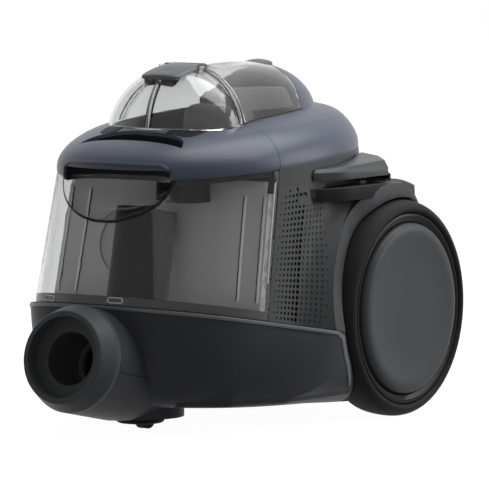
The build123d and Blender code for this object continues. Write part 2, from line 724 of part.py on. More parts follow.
with BuildPart() as riser_tube:
    with BuildSketch(lean(RISER_FOOT.Y, RISER_FOOT.Z, SPLIT_LEAN)):
        Circle(RISER_OUT)
        Circle(RISER_OUT - 2, mode=Mode.SUBTRACT)
    extrude(amount=RISER_LENGTH)
    with BuildSketch(lean(RISER_FOOT.Y, RISER_FOOT.Z, SPLIT_LEAN).offset(RISER_LENGTH - 4)):
        Circle(RISER_OUT)
        Circle(RISER_R - 2, mode=Mode.SUBTRACT)
    extrude(amount=4)
    split(bisect_by=RIM.offset(8), keep=Keep.TOP)
riser_tube.part.label = "riser_tube"
export_step(riser_tube.part, "parts/riser_tube.step")

with BuildPart() as mesh_screen:
    add(bin_inner.part)
    add(slab(SPLIT, -8, 0), mode=Mode.INTERSECT)
    split(bisect_by=RIM.offset(8), keep=Keep.TOP)
    split(bisect_by=COVER.offset(-20), keep=Keep.BOTTOM)
    with BuildSketch(SPLIT.offset(-10)):
        with Locations((0, 70)):
            SlotOverall(130, 60)
    extrude(amount=4, mode=Mode.SUBTRACT)
mesh_screen.part.label = "mesh_screen"
export_step(mesh_screen.part, "parts/mesh_screen.step")

with BuildPart() as grip_seal:
    add(GRIP_SEAL)
    extrude(egg(COVER.offset(-5), 106, 146, 158, 2.2), amount=8, mode=Mode.INTERSECT)
with BuildPart() as lid_gasket:
    extrude(egg(COVER, 110, 150, 162, 2.2), amount=3)
    add(COVER_INNER, mode=Mode.INTERSECT)
    extrude(egg(COVER.offset(-5), 107.6, 147.6, 159.6, 2.2), amount=5)
    extrude(egg(COVER.offset(-6), 105, 145, 157, 2.2), amount=12, mode=Mode.SUBTRACT)
    add(grip_seal.part)
    add(GRIP_ROOM, mode=Mode.SUBTRACT)
    split(bisect_by=SPLIT.offset(-4), keep=Keep.BOTTOM)
lid_gasket.part.label = "lid_gasket"
export_step(lid_gasket.part, "parts/lid_gasket.step")

with BuildPart() as cyclone_top:
    add(COVER_INNER)
    add(slab(COVER, 16, 19), mode=Mode.INTERSECT)
    with Locations((36, -77, 197)):
        Cylinder(BOWL_R, 46, align=UP)
    with Locations((36, -77, 197)):
        Cylinder(BOWL_R - 2, 30, align=UP, mode=Mode.SUBTRACT)
    add(GRIP_CLEAR, mode=Mode.SUBTRACT)
    with Locations((0, BAR_REAR_Y + 25 - 60, BAR_UNDER_Z - 8)):
        Box(2 * GRIP_HALF + 9, 120, 60, align=UP, mode=Mode.SUBTRACT)
    with Locations((0, -30, 238)):
        Cylinder(42, 32, align=UP)
    with Locations((0, -30, 270)):
        Cone(42, 26, 16, align=UP)
    split(bisect_by=SPLIT.offset(-2), keep=Keep.BOTTOM)
cyclone_top.part.label = "cyclone_top"
export_step(cyclone_top.part, "parts/cyclone_top.step")

# Cord reel on its bracket between the wheel wells, with the control board under it
with BuildPart() as reel_bracket:
    with Locations((0, REEL_Y, REEL_Z - 6)):
        Box(2 * (WELL_X - WALL), 100, 4, align=UP)
    add(INNER, mode=Mode.INTERSECT)
    with Locations((0, REEL_Y, REEL_Z - 6)):
        Cylinder(10, 5.5, align=UP)
        Cylinder(5, REEL_H + 12, align=UP)
    with Locations((0, REEL_Y, REEL_Z + REEL_H + 0.6)):
        Cylinder(9, 3, align=UP)
reel_bracket.part.label = "reel_bracket"
export_step(reel_bracket.part, "parts/reel_bracket.step")

with BuildPart() as cord_reel:
    with Locations((0, REEL_Y, REEL_Z)):
        Cylinder(30, REEL_H, align=UP)
        Cylinder(REEL_R, 3, align=UP)
    with Locations((0, REEL_Y, REEL_Z + REEL_H - 3)):
        Cylinder(REEL_R, 3, align=UP)
    with Locations((0, REEL_Y, REEL_Z)):
        Cylinder(5 + RUN_FIT, REEL_H, align=UP, mode=Mode.SUBTRACT)
        with PolarLocations(50, 6):
            Cylinder(12, 3, align=UP, mode=Mode.SUBTRACT)
cord_reel.part.label = "cord_reel"
export_step(cord_reel.part, "parts/cord_reel.step")

with BuildPart() as control_board:
    with Locations((-40, REEL_Y - 20, REEL_Z - 7.6)):
        Box(70, 46, 1.6, align=UP)
    with Locations((-60, REEL_Y - 20, REEL_Z - 7.6), (-30, REEL_Y - 28, REEL_Z - 7.6)):
        Box(16, 20, 12, align=(Align.CENTER, Align.CENTER, Align.MAX))
control_board.part.label = "control_board"
export_step(control_board.part, "parts/control_board.step")

# Filter drum under the rear dome, on a seat plate that spans the top of the body
with BuildPart() as filter_seat:
    add(INNER)
    add(slab(COVER, -7, -4), mode=Mode.INTERSECT)
    split(bisect_by=SPLIT.offset(4), keep=Keep.TOP)
    with Locations((0, 28, 200)):
        Cylinder(26, 60, mode=Mode.SUBTRACT, align=UP)
filter_seat.part.label = "filter_seat"
export_step(filter_seat.part, "parts/filter_seat.step")

with BuildPart() as filter_drum:
    with Locations((0, 28, 215)):
        Cylinder(36, 65, align=UP)
        Cylinder(24, 62, align=UP, mode=Mode.SUBTRACT)
    split(bisect_by=COVER.offset(-4), keep=Keep.TOP)
filter_drum.part.label = "filter_drum"
export_step(filter_drum.part, "parts/filter_drum.step")

# Motor: housing on two saddles, stator with bearing bore, rotor with fan
MOTOR_CUT = Plane(origin=(0, MOTOR_Y, MOTOR_Z), x_dir=(0, 0, 1), z_dir=(1, 0, 0))
MOTOR = Axis((0, MOTOR_Y, MOTOR_Z), (0, 1, 0))
motor_shell = ((MOTOR_R - 26, 0), (MOTOR_R, 0), (MOTOR_R, -MOTOR_LENGTH), (14, -MOTOR_LENGTH),
               (14, -MOTOR_LENGTH + 3), (MOTOR_R - 3, -MOTOR_LENGTH + 3), (MOTOR_R - 3, -3), (MOTOR_R - 26, -3))
with BuildPart() as motor_housing:
    add(turned(MOTOR_CUT, MOTOR, motor_shell))
motor_housing.part.label = "motor_housing"
export_step(motor_housing.part, "parts/motor_housing.step")

with BuildPart() as motor_can:
    with BuildSketch(Plane.XZ.offset(-MOTOR_Y - 36)):
        with Locations((0, MOTOR_Z)):
            Circle(34)
            Rectangle(2 * MOTOR_R - 6.4, 12)
            Rectangle(12, 2 * MOTOR_R - 6.4)
            Circle(MOTOR_R - 3, mode=Mode.INTERSECT)
            Circle(4 + RUN_FIT, mode=Mode.SUBTRACT)
    extrude(amount=-66)
    with BuildSketch(Plane.XZ.offset(-MOTOR_Y - 36)):
        with Locations((0, MOTOR_Z)):
            Circle(MOTOR_R - 3)
            Circle(MOTOR_R - 6, mode=Mode.SUBTRACT)
    extrude(amount=-10)
motor_can.part.label = "motor_can"
export_step(motor_can.part, "parts/motor_can.step")

with BuildPart() as motor_rotor:
    with BuildSketch(Plane.XZ.offset(-MOTOR_Y - 12)):
        with Locations((0, MOTOR_Z)):
            Circle(4)
    extrude(amount=-94)
    with BuildSketch(Plane.XZ.offset(-MOTOR_Y - 26)):
        with Locations((0, MOTOR_Z)):
            Circle(40)
    extrude(amount=-4)
    with BuildSketch(Plane.XZ.offset(-MOTOR_Y - 14)):
        with Locations((0, MOTOR_Z)):
            with PolarLocations(22, 7):
                Rectangle(34, 2, rotation=30)
            Circle(10)
    extrude(amount=-12)
motor_rotor.part.label = "motor_rotor"
export_step(motor_rotor.part, "parts/motor_rotor.step")

with BuildPart() as motor_cradle:
    with Locations((0, MOTOR_Y + 26, MOTOR_Z - 20), (0, MOTOR_Y + 88, MOTOR_Z - 20)):
        Box(70, 12, 140, align=(Align.CENTER, Align.CENTER, Align.MAX))
    with Locations((0, MOTOR_Y + 57, 0)):
        Box(30, 62, 24, align=UP)
    add(BASE_INNER, mode=Mode.INTERSECT)
    with BuildSketch(Plane.XZ.offset(-MOTOR_Y)):
        with Locations((0, MOTOR_Z)):
            Circle(MOTOR_R)
    extrude(amount=-MOTOR_LENGTH, mode=Mode.SUBTRACT)
motor_cradle.part.label = "motor_cradle"
export_step(motor_cradle.part, "parts/motor_cradle.step")

# Wheels: rubber tyre, spoked core, gloss trim ring and pressed hub cap on a shoulder axle
tyre_ring = ((84.3, 141), (88, 141.6), (91.6, 139.5), (94, 135), (WHEEL_R, 129), (WHEEL_R, 121),
             (93.5, 110), (91, 105), (84.3, 105))
core_ring = ((AXLE_R + RUN_FIT, 104), (15, 104), (16, 116), (76, 114), (76, 107), (84.3, 107), (84.3, 137),
             (76, 137), (76, 122), (16, 122), (14, 131.2), (AXLE_R + RUN_FIT, 131.2))
trim_profile = ((78.2, 137), (84.3, 137), (84.3, 140), (81, 140.6), (78.2, 139))
cap_profile = ((0, 137), (78, 137), (78, 139.6), (76.5, 142.6), (73, 144), (66, 144.2), (40, 142.4), (0, 142))
axle_profile = ((0, 92), (AXLE_R, 92), (AXLE_R, WELL_X), (11, WELL_X), (11, 103.6), (AXLE_R, 103.6),
                (AXLE_R, 131.6), (10, 131.6), (10, 134), (0, 134))
for name, profile in (("tyre", tyre_ring), ("wheel_core", core_ring), ("trim_ring", trim_profile),
                      ("hub_cap", cap_profile), ("axle", axle_profile)):
    with BuildPart() as right_piece:
        add(turned(WHEEL_CUT, AXLE, profile))
    right_piece.part.label = name + "_right"
    export_step(right_piece.part, "parts/" + name + "_right.step")
    with BuildPart() as left_piece:
        add(mirror(right_piece.part, about=Plane.YZ, mode=Mode.PRIVATE))
    left_piece.part.label = name + "_left"
    export_step(left_piece.part, "parts/" + name + "_left.step")

# Caster: round swivel fork with its stem, pin and wheel
with BuildPart() as caster_fork:
    with Locations((0, CASTER_Y, 6)):
        Cylinder(CASTER_R, CASTER_TOP - 6.5, align=UP)
    fillet(caster_fork.edges().group_by(Axis.Z)[0], 3)
    with Locations((0, CASTER_Y, CASTER_TOP - 1)):
        Cylinder(5, 11, align=UP)
    with Locations((0, CASTER_Y + CASTER_TRAIL, 0)):
        Box(13, 24, CASTER_TOP - 1, align=UP, mode=Mode.SUBTRACT)
    with BuildSketch(Plane.YZ.offset(-30)):
        with Locations((CASTER_Y + CASTER_TRAIL, CASTER_WHEEL_R)):
            Circle(1.5)
    extrude(amount=60, mode=Mode.SUBTRACT)
caster_fork.part.label = "caster_fork"
export_step(caster_fork.part, "parts/caster_fork.step")

with BuildPart() as caster_pin:
    with BuildSketch(Plane.YZ.offset(-14)):
        with Locations((CASTER_Y + CASTER_TRAIL, CASTER_WHEEL_R)):
            Circle(1.5)
    extrude(amount=28)
caster_pin.part.label = "caster_pin"
export_step(caster_pin.part, "parts/caster_pin.step")

with BuildPart() as caster_wheel:
    with BuildSketch(Plane.YZ.offset(-6)):
        with Locations((CASTER_Y + CASTER_TRAIL, CASTER_WHEEL_R)):
            Circle(CASTER_WHEEL_R)
    extrude(amount=12)
    fillet(caster_wheel.edges(), 2)
    with BuildSketch(Plane.YZ.offset(-10)):
        with Locations((CASTER_Y + CASTER_TRAIL, CASTER_WHEEL_R)):
            Circle(1.5 + RUN_FIT)
    extrude(amount=20, mode=Mode.SUBTRACT)
caster_wheel.part.label = "caster_wheel"
export_step(caster_wheel.part, "parts/caster_wheel.step")

# Foot pedals on pins in the body sides
with BuildPart() as pedal_right:
    extrude(pedal_plan(PEDAL_LOW_Z), amount=PEDAL_HIGH_Z - PEDAL_LOW_Z)
    chamfer(pedal_right.faces().sort_by(Axis.Z)[-1].outer_wire().edges().filter_by(
        lambda edge: edge.center().X > 112), 3)
    add(upper_form(-0.8, 0, 20), mode=Mode.SUBTRACT)
    with BuildSketch(Plane.YZ.offset(90)):
        with Locations((PEDAL_PIVOT[0], PEDAL_PIVOT[1])):
            Circle(2 + RUN_FIT)
    extrude(amount=30, mode=Mode.SUBTRACT)
pedal_right.part.label = "pedal_right"
export_step(pedal_right.part, "parts/pedal_right.step")
with BuildPart() as pedal_left:
    add(mirror(pedal_right.part, about=Plane.YZ, mode=Mode.PRIVATE))
pedal_left.part.label = "pedal_left"
export_step(pedal_left.part, "parts/pedal_left.step")

with BuildPart() as pedal_pin_right:
    with BuildSketch(Plane.YZ.offset(100)):
        with Locations((PEDAL_PIVOT[0], PEDAL_PIVOT[1])):
            Circle(2)
    extrude(amount=19)
pedal_pin_right.part.label = "pedal_pin_right"
export_step(pedal_pin_right.part, "parts/pedal_pin_right.step")
with BuildPart() as pedal_pin_left:
    add(mirror(pedal_pin_right.part, about=Plane.YZ, mode=Mode.PRIVATE))
pedal_pin_left.part.label = "pedal_pin_left"
export_step(pedal_pin_left.part, "parts/pedal_pin_left.step")
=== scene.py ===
"""Looks of the canister vacuum cleaner: finishes, perforated panels, trim, studio and camera."""
from __future__ import annotations

import logging
import math
from dataclasses import dataclass, field
from enum import Enum
from typing import Callable, Iterable, Sequence

import bmesh
import bpy
import numpy as np
from bpy.types import ID, Material, Mesh, Node, NodeSocket, NodeTree, Object
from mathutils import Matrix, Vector
from mathutils.bvhtree import BVHTree


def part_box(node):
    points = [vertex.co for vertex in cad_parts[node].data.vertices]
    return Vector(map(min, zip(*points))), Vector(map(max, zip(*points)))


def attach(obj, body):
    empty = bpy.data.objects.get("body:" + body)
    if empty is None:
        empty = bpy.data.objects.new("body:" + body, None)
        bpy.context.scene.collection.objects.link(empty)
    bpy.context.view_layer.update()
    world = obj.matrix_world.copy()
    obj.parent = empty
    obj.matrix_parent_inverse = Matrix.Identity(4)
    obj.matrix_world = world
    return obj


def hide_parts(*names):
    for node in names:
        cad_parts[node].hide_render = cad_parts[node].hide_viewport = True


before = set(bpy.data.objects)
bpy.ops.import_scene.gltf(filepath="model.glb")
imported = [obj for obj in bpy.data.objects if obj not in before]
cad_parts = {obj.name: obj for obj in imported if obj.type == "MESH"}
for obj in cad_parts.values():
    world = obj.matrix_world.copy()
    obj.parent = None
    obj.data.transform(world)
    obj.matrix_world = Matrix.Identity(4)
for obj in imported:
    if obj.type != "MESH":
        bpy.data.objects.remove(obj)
LOG = logging.getLogger("canister")
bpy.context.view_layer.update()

Pair = tuple[float, float]
Line = tuple[Pair, ...]
Point = tuple[float, float, float]
Colour = tuple[float, float, float]
Spot = tuple[Vector, Vector]
Corners = list[list[bmesh.types.BMVert]]
Inputs = dict[str | int, object]

# Ray starts that lie outside the cleaner, in metres.
BESIDE = 0.25
AHEAD = -0.30
ABOVE = 0.40

# Distance under which corners are merged.
MERGE = 1e-6

# Place of the wheel axles along Y and Z.
AXLE = (0.119, 0.095)


class Side(Enum):
    """The two mirrored sides of the cleaner."""

    RIGHT = 1
    LEFT = -1

    @property
    def word(self) -> str:
        """The side's name as the CAD nodes spell it."""
        return self.name.lower()


class Grain(Enum):
    """How coarse a moulded surface is, as the size of its texture across a metre."""

    POLISHED = 900.0
    SATIN = 1600.0
    SPARK = 2600.0


@dataclass(frozen=True)
class Seams:
    """Seams that several pieces share: the leaning split behind the bin and the sloping base rim."""

    split_y: float = -0.036
    split_z: float = 0.224
    split_lean: float = math.radians(12.0)
    rim_y: float = 0.010
    rim_z: float = 0.0845
    rim_slope: float = math.tan(math.radians(9.65))

    def split_at(self, z: float) -> float:
        """Place along Y of the split at a height."""
        return self.split_y + (z - self.split_z) * math.tan(self.split_lean)

    def rim_at(self, y: float) -> float:
        """Height of the base rim at a place along Y."""
        return self.rim_z - (y - self.rim_y) * self.rim_slope


SEAMS = Seams()


# Shader helpers


class TreeMaker:
    """Adds nodes to a node tree and feeds their inputs."""

    def __init__(self, tree: NodeTree) -> None:
        """Take the tree to work on."""
        self.tree = tree

    def node(self, kind: str, inputs: Inputs | None = None, **values: object) -> Node:
        """Add a node, set its properties and feed its inputs.

        Args:
            kind: node type.
            inputs: sockets or plain values, by the input's name or number.
            **values: properties of the node.

        Returns:
            The new node.
        """
        made = self.tree.nodes.new(kind)
        for key, value in values.items():
            setattr(made, key, value)
        self.feed(made, inputs or {})
        return made

    def feed(self, node: Node, inputs: Inputs) -> None:
        """Link sockets to a node's inputs, or set the inputs' own values.

        Args:
            node: the node.
            inputs: sockets or plain values, by the input's name or number.
        """
        for key, value in inputs.items():
            if isinstance(value, NodeSocket):
                self.tree.links.new(value, node.inputs[key])
            else:
                node.inputs[key].default_value = value

    def calc(self, kind: str, first: object, second: object = 0.0) -> NodeSocket:
        """One math step on sockets or numbers, as a value socket."""
        return self.node("ShaderNodeMath", {0: first, 1: second}, operation=kind).outputs["Value"]

    def ranged(self, value: NodeSocket, start: tuple[object, object],
               end: tuple[object, object]) -> NodeSocket:
        """Map a value from one range to another and hold it there.

        Args:
            value: socket of the value.
            start: range that it comes from.
            end: range that it goes to, as numbers or sockets.

        Returns:
            The result's socket.
        """
        return self.node("ShaderNodeMapRange", {"Value": value, "From Min": start[0], "From Max": start[1],
                                                "To Min": end[0], "To Max": end[1]}).outputs["Result"]


class ShaderGroup(TreeMaker):
    """A shader node group with named inputs and outputs."""

    def __init__(self, name: str, inputs: dict[str, float | tuple[float, ...]]) -> None:
        """Start a group with its inputs.

        Args:
            name: name of the group.
            inputs: starting value of each input, a tuple for a colour.
        """
        super().__init__(bpy.data.node_groups.new(name, "ShaderNodeTree"))
        for key, value in inputs.items():
            kind = "NodeSocketColor" if isinstance(value, tuple) else "NodeSocketFloat"
            socket = self.tree.interface.new_socket(key, in_out="INPUT", socket_type=kind)
            socket.default_value = value
        self.entry = self.node("NodeGroupInput").outputs

    def finish(self, outputs: dict[str, NodeSocket]) -> NodeTree:
        """Give the group its outputs.

        Args:
            outputs: the socket behind each output.

        Returns:
            The node group.
        """
        for key, socket in outputs.items():
            kind = "NodeSocketColor" if socket.type == "RGBA" else "NodeSocketFloat"
            self.tree.interface.new_socket(key, in_out="OUTPUT", socket_type=kind)
        self.node("NodeGroupOutput", outputs)
        return self.tree


def moulded_grain_group() -> NodeTree:
    """Fine spark texture with slow colour drift, as a moulded plastic skin has.

    Returns:
        The node group.
    """
    group = ShaderGroup("moulded_grain", {
        "Tint": (0.1, 0.1, 0.1, 1), "Shade": (0.08, 0.08, 0.08, 1), "Drift": 18.0, "Grain": 1600.0,
        "Rough Low": 0.35, "Rough High": 0.5})
    entry = group.entry
    place = group.node("ShaderNodeTexCoord").outputs["Object"]
    drift, grain = (group.node("ShaderNodeTexNoise", {
        "Vector": place, "Scale": entry[scale], "Detail": detail}).outputs["Fac"]
        for scale, detail in (("Drift", 4), ("Grain", 2)))
    blend = group.node("ShaderNodeMix", {0: drift, 6: entry["Tint"], 7: entry["Shade"]}, data_type="RGBA")
    rough = group.ranged(drift, (0.3, 0.7), (entry["Rough Low"], entry["Rough High"]))
    return group.finish({"Colour": blend.outputs[2], "Roughness": rough, "Height": grain})


def hairline_group() -> NodeTree:
    """Faint wiping marks: stretched noise that lifts roughness a little.

    Returns:
        The node group.
    """
    group = ShaderGroup("hairline", {"Length": 14.0, "Width": 900.0, "Rough Low": 0.03, "Rough High": 0.08})
    entry = group.entry
    place = group.node("ShaderNodeTexCoord").outputs["Object"]
    spread = group.node("ShaderNodeCombineXYZ", {
        "X": entry["Length"], "Y": entry["Length"], "Z": entry["Width"]})
    scaled = group.node("ShaderNodeVectorMath", {0: place, 1: spread.outputs["Vector"]}, operation="MULTIPLY")
    streak = group.node("ShaderNodeTexNoise", {"Vector": scaled.outputs["Vector"], "Scale": 1.0, "Detail": 3})
    rough = group.ranged(streak.outputs["Fac"], (0.35, 0.75), (entry["Rough Low"], entry["Rough High"]))
    return group.finish({"Roughness": rough, "Height": streak.outputs["Fac"]})


GRAIN_GROUP = moulded_grain_group()
HAIRLINE_GROUP = hairline_group()


def blank_material(name: str) -> tuple[Material, TreeMaker, Node]:
    """A new material with only its Principled shader.

    Args:
        name: material name.

    Returns:
        The material, the maker of its nodes and its Principled node.
    """
    material = bpy.data.materials.new(name)
    material.use_nodes = True
    return material, TreeMaker(material.node_tree), material.node_tree.nodes["Principled BSDF"]


def bump_from(maker: TreeMaker, height: NodeSocket, strength: float,
              distance: float) -> NodeSocket:
    """A bump made from a height.

    Args:
        maker: maker of the material's nodes.
        height: the height socket.
        strength: bump strength.
        distance: bump distance in metres.

    Returns:
        The bumped normal.
    """
    bump = maker.node("ShaderNodeBump", {"Strength": strength, "Distance": distance, "Height": height})
    return bump.outputs["Normal"]


# Finishes


@dataclass(frozen=True)
class Moulded:
    """An opaque moulded plastic or rubber skin."""

    name: str
    tint: Colour
    shade: Colour
    rough: Pair
    grain: Grain = Grain.SATIN
    depth: float = 0.00004
    strength: float = 0.25
    specular: float = 0.5

    def make(self) -> Material:
        """Build the material.

        Returns:
            The finished material.
        """
        material, maker, shader = blank_material(self.name)
        group = maker.node("ShaderNodeGroup", {
            "Tint": (*self.tint, 1), "Shade": (*self.shade, 1), "Grain": self.grain.value,
            "Rough Low": self.rough[0], "Rough High": self.rough[1]}, node_tree=GRAIN_GROUP).outputs
        maker.feed(shader, {"Base Color": group["Colour"], "Roughness": group["Roughness"],
                            "Specular IOR Level": self.specular,
                            "Normal": bump_from(maker, group["Height"], self.strength, self.depth)})
        return material


@dataclass(frozen=True)
class Clear:
    """A clear moulded plastic wall."""

    name: str
    tint: Colour
    rough: Pair = (0.004, 0.018)
    index: float = 1.46

    def make(self) -> Material:
        """Build the material.

        Returns:
            The finished material.
        """
        material, maker, shader = blank_material(self.name)
        group = maker.node("ShaderNodeGroup", {"Rough Low": self.rough[0], "Rough High": self.rough[1]},
                           node_tree=HAIRLINE_GROUP)
        maker.feed(shader, {"Base Color": (*self.tint, 1), "Transmission Weight": 1.0, "IOR": self.index,
                            "Roughness": group.outputs["Roughness"]})
        return material


@dataclass(frozen=True)
class Metal:
    """A turned or drawn metal surface."""

    name: str
    tint: Colour
    rough: Pair
    mark_length: float = 40.0
    mark_width: float = 2400.0
    strength: float = 0.2
    depth: float = 0.00003

    def make(self) -> Material:
        """Build the material.

        Returns:
            The finished material.
        """
        material, maker, shader = blank_material(self.name)
        group = maker.node("ShaderNodeGroup", {
            "Length": self.mark_length, "Width": self.mark_width, "Rough Low": self.rough[0],
            "Rough High": self.rough[1]}, node_tree=HAIRLINE_GROUP).outputs
        maker.feed(shader, {"Base Color": (*self.tint, 1), "Metallic": 1.0, "Roughness": group["Roughness"],
                            "Normal": bump_from(maker, group["Height"], self.strength, self.depth)})
        return material


@dataclass(frozen=True)
class Woven:
    """A fine woven screen or filter cloth, with threads both ways."""

    name: str
    thread: Colour
    hole: Colour
    pitch: float
    wave_length: float = 0.314
    speck_scale: float = 900.0
    speck_share: float = 0.5
    rough: float = 0.7
    strength: float = 0.5
    depth: float = 0.0002

    def make(self) -> Material:
        """Build the material.

        Returns:
            The finished material.
        """
        material, maker, shader = blank_material(self.name)
        place = maker.node("ShaderNodeTexCoord").outputs["Object"]
        threads = [maker.node("ShaderNodeTexWave", {
            "Vector": place, "Scale": self.wave_length / self.pitch, "Distortion": 0.6, "Detail": 1.0},
            bands_direction=direction).outputs["Fac"] for direction in ("X", "Z")]
        weave = maker.calc("MULTIPLY", *threads)
        speck = maker.node("ShaderNodeTexNoise", {"Vector": place, "Scale": self.speck_scale})
        both = maker.node("ShaderNodeMath", {0: speck.outputs["Fac"], 1: self.speck_share, 2: weave},
                          operation="MULTIPLY_ADD")
        blend = maker.node("ShaderNodeMix", {
            0: both.outputs["Value"], 6: (*self.hole, 1), 7: (*self.thread, 1)}, data_type="RGBA")
        maker.feed(shader, {"Base Color": blend.outputs[2], "Roughness": self.rough,
                            "Normal": bump_from(maker, weave, self.strength, self.depth)})
        return material


Finish = Moulded | Clear | Metal | Woven

FINISHES: tuple[Finish, ...] = (
    Moulded("base_skin", (0.038, 0.039, 0.044), (0.033, 0.034, 0.039), (0.40, 0.48), specular=0.08),
    Moulded("body_skin", (0.050, 0.051, 0.053), (0.044, 0.045, 0.047), (0.42, 0.50), specular=0.1),
    Moulded("panel_skin", (0.054, 0.055, 0.057), (0.047, 0.048, 0.050), (0.40, 0.48), specular=0.1),
    Moulded("arch_skin", (0.038, 0.039, 0.042), (0.033, 0.034, 0.037), (0.40, 0.48), specular=0.1),
    Moulded("cover_blue", (0.045, 0.055, 0.083), (0.040, 0.050, 0.076), (0.32, 0.38), depth=0.00002,
            specular=0.22),
    Moulded("collar_skin", (0.056, 0.058, 0.063), (0.050, 0.052, 0.057), (0.40, 0.48), specular=0.12),
    Moulded("black_skin", (0.010, 0.010, 0.011), (0.007, 0.007, 0.008), (0.45, 0.58), specular=0.06),
    Moulded("smoke_skin", (0.028, 0.028, 0.029), (0.022, 0.022, 0.023), (0.24, 0.32), specular=0.4),
    Moulded("riser_skin", (0.010, 0.010, 0.011), (0.007, 0.007, 0.008), (0.42, 0.52), depth=0.00001,
            specular=0.05),
    Moulded("gloss_black", (0.008, 0.008, 0.009), (0.006, 0.006, 0.007), (0.10, 0.16), Grain.POLISHED,
            depth=0.00001, specular=0.06),
    Moulded("hub_skin", (0.042, 0.044, 0.047), (0.037, 0.039, 0.042), (0.38, 0.46), specular=0.12),
    Moulded("tyre_rubber", (0.019, 0.019, 0.020), (0.014, 0.014, 0.015), (0.55, 0.70), Grain.SPARK,
            depth=0.0001, strength=0.4, specular=0.06),
    Moulded("soft_rubber", (0.014, 0.014, 0.015), (0.010, 0.010, 0.011), (0.60, 0.75), specular=0.08),
    Moulded("pedal_skin", (0.030, 0.031, 0.033), (0.025, 0.026, 0.028), (0.32, 0.40), specular=0.2),
    Moulded("tab_skin", (0.085, 0.088, 0.092), (0.070, 0.073, 0.077), (0.34, 0.44), specular=0.25),
    Moulded("board_skin", (0.02, 0.11, 0.05), (0.015, 0.09, 0.04), (0.35, 0.5)),
    Clear("clear_wall", (0.76, 0.763, 0.766), index=1.22),
    Clear("clear_dome", (0.75, 0.753, 0.756), index=1.34),
    Clear("clear_rib", (0.86, 0.865, 0.87), (0.03, 0.08), 1.49),
    # Light grey for the clip rings, and a painted highlight on clear edges: the bin's rear edges and the
    # bright screen guides.
    Moulded("clear_edge", (0.52, 0.53, 0.54), (0.46, 0.47, 0.48), (0.12, 0.2), Grain.POLISHED, depth=0.00001),
    # Light finish that paints the highlight on the base's rim lip and cheek edges.
    Moulded("lip_skin", (0.105, 0.107, 0.112), (0.095, 0.097, 0.102), (0.34, 0.42), specular=0.3),
    Moulded("works_skin", (0.068, 0.067, 0.064), (0.058, 0.057, 0.055), (0.50, 0.62), specular=0.25),
    Metal("steel", (0.56, 0.57, 0.58), (0.25, 0.4)),
    Woven("mesh_weave", (0.36, 0.36, 0.352), (0.27, 0.27, 0.264), 0.0007),
    Woven("filter_cloth", (0.8, 0.8, 0.77), (0.5, 0.5, 0.48), 0.0010),
)


class FinishBook:
    """Every finish, built once and handed out by name."""

    def __init__(self, finishes: Iterable[Finish]) -> None:
        """Build the materials."""
        self.made = {finish.name: finish.make() for finish in finishes}

    def __getitem__(self, name: str) -> Material:
        """The material with that name."""
        return self.made[name]

    def dress(self, node: str, name: str) -> None:
        """Give a CAD node a finish.

        Args:
            node: CAD node name.
            name: finish name.
        """
        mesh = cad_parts[node].data
        mesh.materials.clear()
        mesh.materials.append(self.made[name])
        LOG.info("node %s wears %s", node, name)


# Mesh helpers


def settle(mesh: Mesh, name: str, body: str, slot: str,
           material: Material | None = None, stands_for: Sequence[str] = (),
           smooth: float = 40.0) -> Object:
    """Make an object of a finished mesh and let it ride.

    Args:
        mesh: the mesh, placed in the shared frame.
        name: piece name.
        body: CAD body that it rides on.
        slot: not used.
        material: finish, if the mesh has none yet.
        stands_for: CAD nodes that the piece replaces.
        smooth: angle in degrees above which an edge stays sharp.

    Returns:
        The piece.
    """
    mesh.name = name
    piece = bpy.data.objects.new(name, mesh)
    bpy.context.scene.collection.objects.link(piece)
    if material is not None:
        mesh.materials.clear()
        mesh.materials.append(material)
    mesh.shade_smooth()
    mesh.set_sharp_from_angle(angle=math.radians(smooth))
    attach(piece, body)
    if stands_for:
        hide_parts(*stands_for)
    LOG.info("piece %s rides on %s", name, body)
    return piece


def tidy_mesh(builder: bmesh.types.BMesh, name: str) -> Mesh:
    """Merge doubles, turn faces outwards and free the builder.

    Args:
        builder: the bmesh.
        name: mesh name.

    Returns:
        The plain mesh.
    """
    bmesh.ops.remove_doubles(builder, verts=builder.verts, dist=MERGE)
    bmesh.ops.recalc_face_normals(builder, faces=builder.faces)
    mesh = bpy.data.meshes.new(name)
    builder.to_mesh(mesh)
    builder.free()
    return mesh


def span_rings(builder: bmesh.types.BMesh, rings: Corners) -> None:
    """Span faces between closed rings of corners that follow each other.

    Args:
        builder: the bmesh.
        rings: the rings, each with as many corners.
    """
    for one, two in zip(rings, rings[1:]):
        for k in range(len(one)):
            j = (k + 1) % len(one)
            builder.faces.new((one[k], one[j], two[j], two[k]))


def border(rows: int, columns: int) -> list[tuple[int, int]]:
    """Places round the edge of a grid, one after the other.

    Args:
        rows: number of rows.
        columns: number of columns.

    Returns:
        Row and column of each place.
    """
    places = [(0, c) for c in range(columns)] + [(r, columns - 1) for r in range(1, rows)]
    places += [(rows - 1, c) for c in range(columns - 2, -1, -1)]
    return places + [(r, 0) for r in range(rows - 2, 0, -1)]


def closed_sheet(builder: bmesh.types.BMesh, outer: Corners, inner: Corners, name: str) -> Mesh:
    """Join two grids of corners that lie over each other into one thin closed sheet.

    Args:
        builder: the bmesh that holds the corners.
        outer: grid of the outer face.
        inner: grid of the inner face.
        name: mesh name.

    Returns:
        The plain mesh.
    """
    rows, columns = len(outer), len(outer[0])
    for r in range(rows - 1):
        for c in range(columns - 1):
            builder.faces.new((outer[r][c], outer[r][c + 1], outer[r + 1][c + 1], outer[r + 1][c]))
            builder.faces.new((inner[r][c], inner[r + 1][c], inner[r + 1][c + 1], inner[r][c + 1]))
    ring = border(rows, columns)
    for (i, j), (k, m) in zip(ring, ring[1:] + ring[:1]):
        builder.faces.new((outer[i][j], inner[i][j], inner[k][m], outer[k][m]))
    return tidy_mesh(builder, name)


